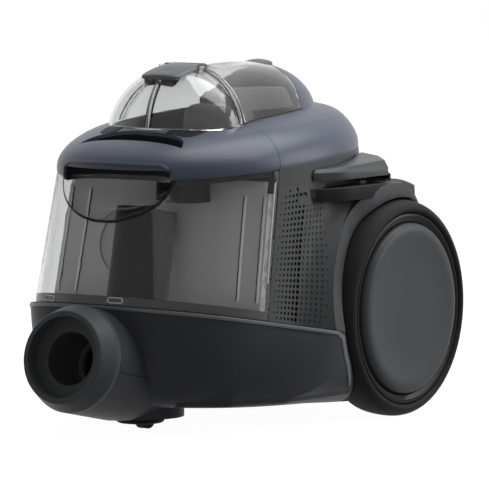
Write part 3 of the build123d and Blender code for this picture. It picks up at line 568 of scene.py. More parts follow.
def lathe(profile: Sequence[Pair], side: Side, segments: int, name: str) -> Mesh:
    """Turn a closed profile of (radius, place along X) about a wheel axle.

    Args:
        profile: closed profile in metres.
        side: which side of the cleaner.
        segments: steps round the axle.
        name: mesh name.

    Returns:
        The turned mesh.
    """
    builder = bmesh.new()
    rings = []
    for step in range(segments):
        turn = 2 * math.pi * step / segments
        rings.append([builder.verts.new((side.value * x, AXLE[0] + r * math.cos(turn),
                                         AXLE[1] + r * math.sin(turn))) for r, x in profile])
    span_rings(builder, rings + rings[:1])
    return tidy_mesh(builder, name)


def baked(piece: Object) -> Mesh:
    """The evaluated mesh of a piece with modifiers, as a plain mesh.

    Args:
        piece: object with its modifiers in place.

    Returns:
        The plain mesh, with the helper object removed.
    """
    bpy.context.view_layer.update()
    graph = bpy.context.evaluated_depsgraph_get()
    mesh = bpy.data.meshes.new_from_object(piece.evaluated_get(graph))
    piece.modifiers.clear()
    bpy.data.objects.remove(piece)
    return mesh


class FormTree(TreeMaker):
    """A Geometry Nodes tree under construction."""

    def __init__(self, name: str, inputs: dict[str, str]) -> None:
        """Start a tree that takes and gives one mesh.

        Args:
            name: name of the tree.
            inputs: kind of each further input, such as "Float".
        """
        super().__init__(bpy.data.node_groups.new(name, "GeometryNodeTree"))
        face = self.tree.interface
        for way in ("INPUT", "OUTPUT"):
            face.new_socket("Geometry", in_out=way, socket_type="NodeSocketGeometry")
        self.keys = {key: face.new_socket(key, in_out="INPUT", socket_type="NodeSocket" + kind).identifier
                     for key, kind in inputs.items()}
        self.entry = self.node("NodeGroupInput").outputs

    def close(self, last: NodeSocket, material: Material) -> None:
        """End the tree in Realize Instances and Set Material.

        Args:
            last: geometry socket to finish.
            material: finish of the result.
        """
        real = self.node("GeometryNodeRealizeInstances", {"Geometry": last})
        coat = self.node("GeometryNodeSetMaterial", {
            "Geometry": real.outputs["Geometry"], "Material": material})
        self.node("NodeGroupOutput", {0: coat.outputs["Geometry"]})

    def run(self, mesh: Mesh, sizes: dict[str, object]) -> Mesh:
        """Apply the tree to a mesh.

        Args:
            mesh: starting mesh.
            sizes: values of the named inputs.

        Returns:
            The plain result.
        """
        holder = bpy.data.objects.new("holder", mesh)
        bpy.context.scene.collection.objects.link(holder)
        modifier = holder.modifiers.new("tree", "NODES")
        modifier.node_group = self.tree
        for key, value in sizes.items():
            modifier[self.keys[key]] = value
        return baked(holder)


def eased_line(points: Sequence[Pair], steps: int = 6) -> list[Pair]:
    """A smooth line through an open row of points.

    Args:
        points: points to pass through.
        steps: pieces between two points.

    Returns:
        The denser row of points.
    """
    padded = [points[0], *points, points[-1]]
    line = []
    for index in range(1, len(padded) - 2):
        a, b, c, d = padded[index - 1:index + 3]
        for step in range(steps):
            t = step / steps
            line.append(tuple(0.5 * (2 * q + (r - p) * t + (2 * p - 5 * q + 4 * r - s) * t * t
                                     + (3 * q - p - 3 * r + s) * t ** 3)
                              for p, q, r, s in zip(a, b, c, d)))
    line.append(tuple(points[-1]))
    return line


def relaxed(grid: np.ndarray, passes: int) -> np.ndarray:
    """Even out a grid of heights, with its first and last columns held.

    Args:
        grid: heights.
        passes: how often each height moves to the mean of its neighbours.

    Returns:
        The evened grid.
    """
    soft = grid.copy()
    for _ in range(passes):
        above = np.vstack((soft[:1], soft[:-1]))
        below = np.vstack((soft[1:], soft[-1:]))
        soft[:, 1:-1] = ((above + below)[:, 1:-1] + soft[:, :-2] + soft[:, 2:]) / 4
    return soft


def stretched(along: Sequence[float], heights: Sequence[float]) -> np.ndarray:
    """Heights of a string pulled tight over a row of heights.

    Args:
        along: places of the heights, rising.
        heights: the heights.

    Returns:
        Height of the string at each place.
    """
    taut: list[Pair] = []
    for place in zip(along, heights):
        while len(taut) > 1:
            (x1, h1), (x2, h2) = taut[-2:]
            if (x2 - x1) * (place[1] - h1) < (place[0] - x1) * (h2 - h1):
                break
            taut.pop()
        taut.append(place)
    return np.interp(along, [x for x, _ in taut], [h for _, h in taut])


def softened(grid: np.ndarray, passes: int) -> np.ndarray:
    """Take the last sharpness out of a grid, with its whole border held.

    Args:
        grid: heights.
        passes: number of gentle passes.

    Returns:
        The softened grid.
    """
    soft = grid.copy()
    for _ in range(passes):
        around = soft[:-2, 1:-1] + soft[2:, 1:-1] + soft[1:-1, :-2] + soft[1:-1, 2:]
        soft[1:-1, 1:-1] = (soft[1:-1, 1:-1] * 4 + around) / 8
    return soft


class Surface:
    """Outer surface of some CAD nodes, on which pieces are laid."""

    def __init__(self, *nodes: str) -> None:
        """Gather the triangles.

        Args:
            *nodes: CAD node names.
        """
        corners: list[Vector] = []
        faces: list[tuple[int, ...]] = []
        for node in nodes:
            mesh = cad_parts[node].data
            start = len(corners)
            corners += [v.co for v in mesh.vertices]
            faces += [tuple(start + i for i in p.vertices) for p in mesh.polygons]
        self.tree = BVHTree.FromPolygons(corners, faces)

    def hit(self, start: Vector, aim: Vector) -> Spot | None:
        """First point that a ray meets, with the outward direction there.

        Args:
            start: where the ray starts.
            aim: its direction.

        Returns:
            Point and normal, or nothing.
        """
        place, normal, _, _ = self.tree.ray_cast(start, aim.normalized())
        if place is None:
            return None
        return place, normal if normal.dot(aim) < 0 else -normal

    def from_side(self, side: Side, y: float, z: float) -> Spot | None:
        """First point met from one side."""
        return self.hit(Vector((side.value * BESIDE, y, z)), Vector((-side.value, 0, 0)))

    def from_front(self, x: float, z: float) -> Spot | None:
        """First point met from the front."""
        return self.hit(Vector((x, AHEAD, z)), Vector((0, 1, 0)))

    def from_above(self, x: float, y: float, start: float = ABOVE) -> Spot | None:
        """First point met from above."""
        return self.hit(Vector((x, y, start)), Vector((0, 0, -1)))

    def reach(self, side: Side, y: float, z: float) -> float:
        """Distance from the middle plane of the outermost point at a place, 0 where there is none."""
        found = self.from_side(side, y, z)
        return abs(found[0].x) if found else 0.0


def swept_band(path: Sequence[Spot], width: float, height: float, material: Material,
               closed: bool = False, edge_share: float = 0.4) -> Mesh:
    """Sweep a band with rounded edges along a path that lies on a surface.

    Args:
        path: points with their outward directions.
        width: size across the path, along the surface.
        height: size out of the surface, half of it sunk.
        material: finish of the band.
        closed: join the last point to the first.
        edge_share: radius of the edges as a share of the smaller size.

    Returns:
        The plain mesh.
    """
    line = bpy.data.meshes.new("band_path")
    steps = [(i, i + 1) for i in range(len(path) - 1)] + ([(len(path) - 1, 0)] if closed else [])
    line.from_pydata([place for place, _ in path], steps, [])
    out = line.attributes.new("out", "FLOAT_VECTOR", "POINT")
    for index, (_, normal) in enumerate(path):
        out.data[index].vector = normal
    tree = FormTree("swept_band", {"Width": "Float", "Height": "Float", "Edge Radius": "Float"})
    entry = tree.entry
    curve = tree.node("GeometryNodeMeshToCurve", {"Mesh": entry["Geometry"]})
    outward = tree.node("GeometryNodeInputNamedAttribute", {"Name": "out"}, data_type="FLOAT_VECTOR")
    turned = tree.node("GeometryNodeSetCurveNormal", {
        "Curve": curve.outputs["Curve"], "Normal": outward.outputs["Attribute"]}, mode="FREE")
    shape = tree.node("GeometryNodeCurvePrimitiveQuadrilateral", {
        "Width": entry["Height"], "Height": entry["Width"]}, mode="RECTANGLE")
    soft = tree.node("GeometryNodeFilletCurve", {
        "Curve": shape.outputs["Curve"], "Radius": entry["Edge Radius"], "Count": 3}, mode="POLY")
    sweep = tree.node("GeometryNodeCurveToMesh", {
        "Curve": turned.outputs["Curve"], "Profile Curve": soft.outputs["Curve"], "Fill Caps": True})
    tree.close(sweep.outputs["Mesh"], material)
    return tree.run(line, {"Width": width, "Height": height, "Edge Radius": edge_share * min(width, height)})


def merged(meshes: Sequence[Mesh], name: str) -> Mesh:
    """One mesh of several that share a finish.

    Args:
        meshes: the parts.
        name: name of the result.

    Returns:
        The joined mesh.
    """
    builder = bmesh.new()
    for mesh in meshes:
        builder.from_mesh(mesh)
    made = bpy.data.meshes.new(name)
    builder.to_mesh(made)
    builder.free()
    for material in meshes[0].materials:
        made.materials.append(material)
    return made


def pillow(outline: Sequence[Pair], top: Callable[[float, float], float],
           bottom: Callable[[float, float], float], name: str, edge: float = 0.0012) -> Mesh:
    """Closed plate over a rounded outline, with its own top and bottom and an eased upper edge.

    Args:
        outline: closed outline in X and Y.
        top: height of the top at a place.
        bottom: height of the underside at a place.
        name: mesh name.
        edge: how far the upper edge is eased.

    Returns:
        The mesh.
    """
    middle = (sum(x for x, _ in outline) / len(outline), sum(y for _, y in outline) / len(outline))
    shares = (0.15, 0.32, 0.5, 0.66, 0.8, 0.9, 0.95, 0.98, 0.995, 1.0)
    ease_from = 0.9
    builder = bmesh.new()
    sheets = []
    for upper in (True, False):
        height = top if upper else bottom
        rings = []
        for share in shares:
            ease = max(0.0, (share - ease_from) / (1 - ease_from))
            drop = edge * (1 - math.sqrt(max(0.0, 1 - ease ** 2))) if upper else 0.0
            ring = []
            for x, y in outline:
                a = middle[0] + (x - middle[0]) * share
                b = middle[1] + (y - middle[1]) * share
                ring.append(builder.verts.new((a, b, height(a, b) - drop)))
            rings.append(ring)
        sheets.append(rings)
        tip = builder.verts.new((*middle, height(*middle)))
        for k in range(len(outline)):
            builder.faces.new((tip, rings[0][k], rings[0][(k + 1) % len(outline)]))
        span_rings(builder, rings)
    span_rings(builder, [sheets[0][-1], sheets[1][-1]])
    return tidy_mesh(builder, name)


def rounded_outline(low: Pair, high: Pair, power: float,
                    count: int = 72) -> list[Pair]:
    """Rounded rectangle as a superellipse between two corners.

    Args:
        low: smallest X and Y.
        high: largest X and Y.
        power: 2 is an ellipse, more is squarer.
        count: points round the outline.

    Returns:
        The closed outline.
    """
    points = []
    for step in range(count):
        turn = 2 * math.pi * step / count
        c, d = math.cos(turn), math.sin(turn)
        x = math.copysign(abs(c) ** (2 / power), c)
        y = math.copysign(abs(d) ** (2 / power), d)
        points.append(((low[0] + high[0]) / 2 + x * (high[0] - low[0]) / 2,
                       (low[1] + high[1]) / 2 + y * (high[1] - low[1]) / 2))
    return points


def spun(profile: Sequence[Pair], centre: Pair, name: str,
         segments: int = 72) -> Mesh:
    """Turn a profile of (radius, height) about an upright line.

    Args:
        profile: from the foot to the tip, the tip on the line.
        centre: X and Y of the line.
        name: mesh name.
        segments: steps round the line.

    Returns:
        The closed mesh.
    """
    builder = bmesh.new()
    rings = [[builder.verts.new((centre[0] + r * math.cos(2 * math.pi * k / segments),
                                 centre[1] + r * math.sin(2 * math.pi * k / segments), z))
              for k in range(segments)] for r, z in profile[:-1]]
    tip = builder.verts.new((*centre, profile[-1][1]))
    builder.faces.new(rings[0])
    span_rings(builder, rings)
    for k in range(segments):
        builder.faces.new((rings[-1][k], rings[-1][(k + 1) % segments], tip))
    return tidy_mesh(builder, name)


# Sub-assemblies


@dataclass(frozen=True)
class HoleField:
    """Grid of holes in a flank: where its rows run, and how the holes grow and fade across it.

    A place across the grid runs from -0.5 at the first column to 0.5 at the last, and a place up it from
    -0.5 on the lowest row to 0.5 on the highest. The two lines give a place along Y, the height there and
    the slope of the lowest and the highest row. The three ramps give a range across and the hole's share of
    its full radius at both ends of it.
    """

    low_line: Point = (-0.056, 0.0999, -0.15)
    high_line: Point = (-0.036, 0.2052, 0.07)
    pitch: float = 0.0049
    first: float = 0.0105
    columns: int = 11
    rows: int = 24
    radius: float = 0.00190
    corners: int = 14
    map_name: str = "flank_uv"
    map_size: float = 0.1
    off_map: Pair = (-9.0, -9.0)
    growth: tuple[Pair, Pair] = ((-0.6, 0.0), (0.42, 1.0))
    fade: tuple[Pair, Pair] = ((0.05, 0.06), (1.0, 0.78))
    tail: tuple[Pair, Pair] = ((0.52, 0.58), (1.0, 0.62))
    dimples_from: float = 0.05
    through_push: float = -0.4
    dimple_push: float = 2.62
    punch_length: float = 6.0
    plain_corner: Pair = (0.06, 0.41)
    top_row: float = 0.49
    first_column: float = -0.52

    def row_of(self, y: float, z: float) -> float:
        """Place of a point across the rows of holes.

        Args:
            y: place along Y.
            z: height.

        Returns:
            0 on the lowest row, 1 on the highest.
        """
        low = self.low_line[1] + self.low_line[2] * (y - self.low_line[0])
        high = self.high_line[1] + self.high_line[2] * (y - self.high_line[0])
        return (z - low) / (high - low)


class Perforation:
    """Geometry Nodes tree that cuts a field of through holes and dimples into a flank."""

    def __init__(self, holes: HoleField) -> None:
        """Start the tree with its inputs and the place of each hole in the grid.

        Args:
            holes: the field of holes.
        """
        self.holes = holes
        self.tree = FormTree("perforations", {
            "Columns": "Int", "Rows": "Int", "Field Width": "Float", "Field Start": "Vector",
            "Hole Radius": "Float", "Wall": "Float"})
        self.entry = self.tree.entry
        spot = self.tree.node("GeometryNodeInputPosition")
        parts = self.tree.node("ShaderNodeSeparateXYZ", {"Vector": spot.outputs["Position"]})
        self.lead = parts.outputs["X"]
        self.rise = parts.outputs["Y"]

    def points(self) -> NodeSocket:
        """Full grid of points, with a sparser column at each end of it.

        Returns:
            Socket of the points.
        """
        columns, rows = self.holes.columns, self.holes.rows
        main = self.tree.node("GeometryNodeMeshGrid", {
            "Size X": 1.0, "Size Y": 1.0, "Vertices X": self.entry["Columns"],
            "Vertices Y": self.entry["Rows"]})
        ends = self.tree.node("GeometryNodeMeshGrid", {
            "Size X": 1.0 + 2.0 / (columns - 1), "Size Y": (rows - 2) / (rows - 1), "Vertices X": 2,
            "Vertices Y": rows // 2})
        lifted = self.tree.node("GeometryNodeTransform", {
            "Geometry": ends.outputs["Mesh"], "Translation": (0, 0.5 / (rows - 1), 0)})
        both = self.tree.node("GeometryNodeJoinGeometry", {"Geometry": main.outputs["Mesh"]})
        self.tree.feed(both, {"Geometry": lifted.outputs["Geometry"]})
        return both.outputs["Geometry"]

    def radius(self) -> NodeSocket:
        """Radius of each hole: it grows across the field, then fades over the dimples.

        Returns:
            Socket of the radius.
        """
        size = self.entry["Hole Radius"]
        for ramp in (self.holes.growth, self.holes.fade, self.holes.tail):
            size = self.tree.calc("MULTIPLY", size, self.tree.ranged(self.lead, *ramp))
        return size

    def left_out(self) -> NodeSocket:
        """Places without a hole: the plain corner, and every other place of the top row.

        Returns:
            Socket that is 1 where there is no hole.
        """
        calc = self.tree.calc
        corner_lead, corner_rise = self.holes.plain_corner
        corner = calc("MULTIPLY", calc("GREATER_THAN", self.rise, corner_rise),
                      calc("GREATER_THAN", self.lead, corner_lead))
        top = calc("GREATER_THAN", self.rise, self.holes.top_row)
        pairs = (self.holes.columns - 1) / 2
        odd = calc("GREATER_THAN", calc("FRACT", calc("ADD", calc("MULTIPLY", self.lead, pairs), 0.25)), 0.4)
        spare = calc("MAXIMUM", odd, calc("LESS_THAN", self.lead, self.holes.first_column))
        return calc("MAXIMUM", corner, calc("MULTIPLY", top, spare))

    def on_flank(self) -> list[Node]:
        """Look up each hole's place and outward direction on the flank.

        Returns:
            The two sampling nodes, for place and direction.
        """
        tree, calc = self.tree, self.tree.calc
        flat = tree.node("ShaderNodeCombineXYZ", {
            "X": calc("MULTIPLY", calc("ADD", self.lead, 0.5), self.entry["Field Width"]),
            "Y": calc("ADD", self.rise, 0.5)})
        shift = tree.node("ShaderNodeVectorMath", {0: flat.outputs["Vector"], 1: self.entry["Field Start"]},
                          operation="ADD")
        layer = tree.node("GeometryNodeInputNamedAttribute", {"Name": self.holes.map_name},
                          data_type="FLOAT_VECTOR")
        return [tree.node("GeometryNodeSampleUVSurface", {
            "Mesh": self.entry["Geometry"], "Value": value, "UV Map": layer.outputs["Attribute"],
            "Sample UV": shift.outputs["Vector"]}, data_type="FLOAT_VECTOR")
            for value in (tree.node("GeometryNodeInputPosition").outputs["Position"],
                          tree.node("GeometryNodeInputNormal").outputs["Normal"])]

    def punches(self) -> NodeSocket:
        """Stand a punch on each place of the flank that has a hole.

        Returns:
            Socket of the punches.
        """
        tree, calc = self.tree, self.tree.calc
        where, outward = self.on_flank()
        valid = calc("GREATER_THAN", where.outputs["Is Valid"], 0.5)
        keep = tree.node("GeometryNodeCaptureAttribute")
        for kind, name in (("VECTOR", "Aim"), ("FLOAT", "Size"), ("FLOAT", "Use")):
            keep.capture_items.new(kind, name)
        tree.feed(keep, {"Geometry": self.points(), "Aim": outward.outputs["Value"], "Size": self.radius(),
                         "Use": calc("GREATER_THAN", calc("SUBTRACT", valid, self.left_out()), 0.5)})
        kept = keep.outputs
        shallow = calc("GREATER_THAN", self.lead, self.holes.dimples_from)
        push = tree.ranged(shallow, (0.0, 1.0), (self.holes.through_push, self.holes.dimple_push))
        along = tree.node("ShaderNodeVectorMath", {
            0: outward.outputs["Value"], "Scale": calc("MULTIPLY", push, self.entry["Wall"])},
            operation="SCALE")
        target = tree.node("ShaderNodeVectorMath", {0: where.outputs["Value"], 1: along.outputs["Vector"]},
                           operation="ADD")
        move = tree.node("GeometryNodeSetPosition", {
            "Geometry": kept["Geometry"], "Position": target.outputs["Vector"]})
        aim = tree.node("FunctionNodeAlignRotationToVector", {"Vector": kept["Aim"]}, axis="Z")
        size = tree.node("ShaderNodeCombineXYZ", {
            "X": kept["Size"], "Y": kept["Size"],
            "Z": calc("MULTIPLY", self.entry["Wall"], self.holes.punch_length)})
        punch = tree.node("GeometryNodeMeshCylinder", {
            "Vertices": self.holes.corners, "Radius": 1.0, "Depth": 1.0})
        stand = tree.node("GeometryNodeInstanceOnPoints", {
            "Points": move.outputs["Geometry"], "Selection": kept["Use"], "Instance": punch.outputs["Mesh"],
            "Rotation": aim.outputs["Rotation"], "Scale": size.outputs["Vector"]})
        return stand.outputs["Instances"]

    def cut(self, skin: Mesh, wall: float, material: Material) -> Mesh:
        """Cut the holes.

        Args:
            skin: closed flank with its UV map.
            wall: thickness of the flank.
            material: finish of the flank.

        Returns:
            The perforated flank.
        """
        tree, holes = self.tree, self.holes
        real = tree.node("GeometryNodeRealizeInstances", {"Geometry": self.punches()})
        minus = tree.node("GeometryNodeMeshBoolean", operation="DIFFERENCE", solver="MANIFOLD")
        tree.feed(minus, {"Mesh 1": self.entry["Geometry"], "Mesh 2": real.outputs["Geometry"]})
        tree.close(minus.outputs["Mesh"], material)
        return tree.run(skin, {
            "Columns": holes.columns, "Rows": holes.rows,
            "Field Width": holes.pitch * (holes.columns - 1) / holes.map_size,
            "Field Start": (holes.first / holes.map_size, 0.0, 0.0), "Hole Radius": holes.radius,
            "Wall": wall})


@dataclass
class Flanks:
    """The two perforated flanks, each a smooth skin from the split to the wheel arch.

    The ledge is given along Y and Z. The corner's heights are its foot and its rise, and its end is a place
    along Y, the height of that place and the slope.
    """

    book: FinishBook
    holes: HoleField = HoleField()
    split_gap: float = 0.0006
    rim_gap: float = 0.0005
    arch_gap: float = 0.0003
    arch_radius: float = 0.1128
    ledge: Pair = (0.001, 0.1972)
    ledge_ramp: float = 0.013
    high_z: float = 0.2085
    proud: float = 0.00035
    wall: float = 0.0014
    wall_lean: float = 0.3
    shade_backing_depth: float = 0.0024
    steps: tuple[int, int] = (60, 76)
    spot_rounds: int = 40
    hole_depth: float = 0.0011
    crease_passes: int = 110
    soft_passes: int = 10
    corner_y: float = -0.013
    corner_z: Pair = (0.1925, 0.0170)
    corner_end: Point = (0.0058, 0.194, 0.36)
    corner_reach: float = 0.0012
    corner_climb: float = 0.74
    corner_skins: Pair = (0.0006, -0.0010)
    corner_steps: tuple[int, int] = (12, 14)

    def low_at(self, y: float) -> float:
        """Height of the flank's lower edge, just above the base rim."""
        return SEAMS.rim_at(y) + self.rim_gap

    def high_at(self, y: float) -> float:
        """Height of the flank's upper edge: free in front, under the pedal ledge behind."""
        ramp = min(1.0, max(0.0, (self.ledge[0] - y) / self.ledge_ramp))
        return self.ledge[1] + (self.high_z - self.ledge[1]) * ramp

    def arch_at(self, z: float) -> float:
        """Place along Y of the arch band's outer edge at a height."""
        return AXLE[0] - math.sqrt(max(self.arch_radius ** 2 - (z - AXLE[1]) ** 2, 1e-8))

    def spot(self, across: float, share: float) -> Pair:
        """Point of the flank outline for a share across and a share up.

        Args:
            across: 0 at the split, 1 at the arch.
            share: 0 at the rim, 1 at the upper edge.

        Returns:
            Place along Y and Z.
        """
        y = SEAMS.split_y
        z = self.low_at(y)
        for _ in range(self.spot_rounds):
            front = SEAMS.split_at(z) + self.split_gap
            rear = self.arch_at(z) - self.arch_gap
            y = front + (rear - front) * across
            z = self.low_at(y) + (self.high_at(y) - self.low_at(y)) * share
        return y, z

    def eased(self, reach: list[list[float]]) -> list[list[float]]:
        """Bridge the samples that fell in a hole, then fill hollow creases with a soft blend.

        Args:
            reach: sampled distances from the middle.

        Returns:
            A smooth grid that never falls below the CAD surface.
        """
        rows, columns = len(reach), len(reach[0])
        clean = [line[:] for line in reach]
        for r in range(rows):
            for c in range(columns):
                near = sorted(reach[i][j] for i in range(max(r - 3, 0), min(r + 4, rows))
                              for j in range(max(c - 2, 0), min(c + 3, columns)))
                middle = near[len(near) // 2]
                if reach[r][c] < middle - self.hole_depth:
                    clean[r][c] = middle
        base = np.array(clean)
        grid = np.maximum(base, relaxed(base, self.crease_passes)) + self.proud
        return softened(grid, self.soft_passes).tolist()

    def skin(self, side: Side, inset: float = 0.0) -> Mesh:
        """Read the flank from the CAD surfaces and ease the hollow where it swings out to the arch.

        Args:
            side: which flank.
            inset: distance that the skin lies under the surface.

        Returns:
            A closed thin flank without holes.
        """
        surface = Surface("body_shell", "vent_panel_" + side.word, "wheel_arch_" + side.word)
        across, up = self.steps
        flat = [[self.spot(c / across, r / up) for c in range(across + 1)] for r in range(up + 1)]
        reach = self.eased([[surface.reach(side, y, z) for y, z in line] for line in flat])
        return self.walled(flat, [[x - inset for x in line] for line in reach], side)

    def walled(self, flat: list[list[Pair]], reach: list[list[float]],
               side: Side) -> Mesh:
        """Closed flank mesh with a UV map that counts holes across and rows up.

        Args:
            flat: grid of places along Y and Z.
            reach: grid of distances from the middle.
            side: which flank.

        Returns:
            The mesh.
        """
        builder = bmesh.new()
        layer = builder.loops.layers.uv.new(self.holes.map_name)
        rows, columns = len(flat), len(flat[0])
        skins = []
        for depth in (0.0, self.wall):
            skins.append([[builder.verts.new((side.value * (reach[r][c] - depth),
                                              flat[r][c][0] + self.wall_lean * depth, flat[r][c][1]))
                           for c in range(columns)] for r in range(rows)])
        outer, inner = skins
        run = [[0.0] * columns for _ in range(rows)]
        for r in range(rows):
            for c in range(1, columns):
                run[r][c] = run[r][c - 1] + (outer[r][c].co - outer[r][c - 1].co).xy.length
        hidden = []
        for r in range(rows - 1):
            for c in range(columns - 1):
                spots = ((r, c), (r, c + 1), (r + 1, c + 1), (r + 1, c))
                face = builder.faces.new([outer[a][b] for a, b in spots])
                for loop, (a, b) in zip(face.loops, spots):
                    loop[layer].uv = (run[a][b] / self.holes.map_size, self.holes.row_of(*flat[a][b]))
                hidden.append(builder.faces.new([inner[a][b] for a, b in reversed(spots)]))
        ring = border(rows, columns)
        for (a, b), (c, d) in zip(ring, ring[1:] + ring[:1]):
            hidden.append(builder.faces.new((outer[a][b], inner[a][b], inner[c][d], outer[c][d])))
        for face in hidden:
            for loop in face.loops:
                loop[layer].uv = self.holes.off_map
        bmesh.ops.recalc_face_normals(builder, faces=builder.faces)
        mesh = bpy.data.meshes.new("flank_skin")
        builder.to_mesh(mesh)
        builder.free()
        return mesh

    def corner_patch(self, side: Side) -> Mesh:
        """Plain corner of the flank in front of the pedal ledge.

        Args:
            side: which side.

        Returns:
            The closed patch.
        """
        surface = Surface("body_shell", "vent_panel_" + side.word)
        across, up = self.corner_steps
        builder = bmesh.new()
        skins: list[Corners] = [[], []]
        for row in range(up + 1):
            z = self.corner_z[0] + self.corner_z[1] * row / up
            end = self.corner_end[0] - (z - self.corner_end[1]) * self.corner_end[2]
            first = surface.reach(side, self.corner_y, z)
            last = surface.reach(side, end + self.corner_reach, z)
            for skin, depth in zip(skins, self.corner_skins):
                line = []
                for column in range(across + 1):
                    share = column / across
                    climb = min(1.0, share / self.corner_climb)
                    reach = first + (last - first) * climb * climb * (3 - 2 * climb)
                    y = self.corner_y + (end - self.corner_y) * share
                    line.append(builder.verts.new((side.value * (reach + depth), y, z)))
                skin.append(line)
        return closed_sheet(builder, *skins, "corner_patch")

    def build(self) -> None:
        """Lay the flanks over the body."""
        for side in Side:
            settle(self.corner_patch(side), "flank_corner_" + side.word, "chassis", "body_plastic",
                   self.book["panel_skin"], smooth=50.0)
            # Black sheet under each flank: painted shade seen through the holes.
            settle(self.skin(side, self.shade_backing_depth), "flank_backing_" + side.word, "chassis",
                   "black_plastic", self.book["black_skin"])
            mesh = Perforation(self.holes).cut(self.skin(side), self.wall, self.book["panel_skin"])
            settle(mesh, "perforated_flank_" + side.word, "chassis", "body_plastic",
                   stands_for=["vent_panel_" + side.word], smooth=50.0)


@dataclass
class RearBody:
    """Rear body with its arches, grille and pedals.

    A side band of the recess is given by its height and its two ends along Y, the shelf by its place along X,
    its start along Y and its length, the stop by its start along X, its length and its place along Y. The
    tail of an arch turns from a first angle by a run of degrees, and its depth and reach go by that angle.
    """

    book: FinishBook
    pedal_top: float = 0.0025
    pedal_climb: float = 0.0085
    pedal_run: Pair = (0.008, 0.020)
    pedal_inward: float = 0.030
    pedal_share: float = 0.35
    pedal_edge: float = 0.0014
    shade_thickness: float = 0.0009
    side_bands: tuple[Point, ...] = ((0.1995, 0.0085, 0.104), (0.2072, 0.030, 0.1135))
    side_widths: Pair = (0.0112, 0.0034)
    shelf: Point = (0.1135, 0.024, 0.088)
    shelf_start: float = 0.2105
    shelf_width: float = 0.018
    stop: Point = (0.096, 0.024, 0.1196)
    stop_size: Pair = (0.003, 0.012)
    tail_turn: Pair = (142.0, 76.0)
    tail_inner: float = 0.0974
    tail_root: float = 0.108
    tail_tip: float = 0.0006
    tail_bulge: Pair = (0.0006, 0.3)
    tail_bevel: Pair = (0.0016, 0.0012)
    tail_flat: float = 0.005
    tail_fade: Point = (90.0, 24.0, 1.6)
    tail_depth: Line = ((88.0, 0.0128), (112.0, 0.0158))
    tail_reach: Line = (
        (66.0, 0.1250), (78.0, 0.1290), (90.0, 0.1310), (100.0, 0.1312), (112.0, 0.1296), (126.0, 0.1258),
        (142.0, 0.1256))

    def pedal(self, side: Side) -> Mesh:
        """Pedal whose top climbs to the rear and to the body, with eased edges.

        Args:
            side: which side.

        Returns:
            The eased pedal.
        """
        builder = bmesh.new()
        builder.from_mesh(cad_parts["pedal_" + side.word].data)
        bmesh.ops.remove_doubles(builder, verts=builder.verts, dist=MERGE)
        bmesh.ops.dissolve_limit(builder, angle_limit=0.02, verts=builder.verts, edges=builder.edges)
        low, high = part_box("pedal_" + side.word)
        edge = high[0] if side is Side.RIGHT else -low[0]
        start, spare = self.pedal_run
        for vert in builder.verts:
            if vert.co.z > high[2] - self.pedal_top:
                back = min(1.0, max(0.0, (vert.co.y - low[1] - start) / (high[1] - low[1] - spare)))
                inward = min(1.0, max(0.0, edge - abs(vert.co.x)) / self.pedal_inward)
                vert.co.z += self.pedal_climb * back * (self.pedal_share + (1 - self.pedal_share) * inward)
        mesh = bpy.data.meshes.new("pedal")
        builder.to_mesh(mesh)
        builder.free()
        holder = bpy.data.objects.new("pedal_holder", mesh)
        bpy.context.scene.collection.objects.link(holder)
        bevel = holder.modifiers.new("eased", "BEVEL")
        bevel.width = self.pedal_edge
        bevel.segments = 3
        bevel.limit_method = "ANGLE"
        bevel.angle_limit = math.radians(35)
        return baked(holder)

    def recess(self, side: Side) -> Mesh:
        """Black bands that paint the shade in the hollow under the pedal, with the stop behind it.

        Args:
            side: which side.

        Returns:
            The black bands.
        """
        surface = Surface("body_shell")
        black = self.book["black_skin"]
        up = Vector((0, 0, 1))
        bands = []
        for (z, first, last), width in zip(self.side_bands, self.side_widths):
            found = [surface.from_side(side, first + (last - first) * step / 40, z) for step in range(41)]
            bands.append(swept_band([spot for spot in found if spot], width, self.shade_thickness, black))
        x, first, length = self.shelf
        found = [surface.from_above(side.value * x, first + length * step / 40, self.shelf_start)
                 for step in range(41)]
        path = [(spot[0], up) for spot in found if spot]
        bands.append(swept_band(path, self.shelf_width, self.shade_thickness, black))
        first, length, y = self.stop
        found = [surface.from_above(side.value * (first + length * step / 12), y) for step in range(13)]
        bands.append(swept_band([(spot[0], up) for spot in found if spot], *self.stop_size, black))
        return merged(bands, "recess")

    def arch_tail(self, side: Side) -> Mesh:
        """Tip in which the arch band runs out over the rear of the tyre.

        Args:
            side: which side.

        Returns:
            The closed mesh.
        """
        builder = bmesh.new()
        inner, root = self.tail_inner, self.tail_root
        fade_from, fade_run, fade_power = self.tail_fade
        rings = []
        for step in range(37):
            degrees = self.tail_turn[0] - self.tail_turn[1] * step / 36
            turn = math.radians(degrees)
            fade = 1 - max(0.0, (fade_from - degrees) / fade_run) ** fade_power
            outer = inner + self.tail_tip + float(np.interp(degrees, *zip(*self.tail_depth))) * fade
            out = float(np.interp(degrees, *zip(*self.tail_reach)))
            bulge = (out + self.tail_bulge[0] * fade, inner + self.tail_bulge[1] * (outer - inner))
            bevel = (out - self.tail_bevel[0] * fade, outer - self.tail_bevel[1] * fade)
            section = ((root, inner), (out, inner), bulge, bevel, (out - self.tail_flat, outer),
                       (root, outer))
            rings.append([builder.verts.new((side.value * x, AXLE[0] + r * math.cos(turn),
                                             AXLE[1] + r * math.sin(turn))) for x, r in section])
        span_rings(builder, rings)
        builder.faces.new(rings[0])
        builder.faces.new(rings[-1])
        return tidy_mesh(builder, "arch_tail")

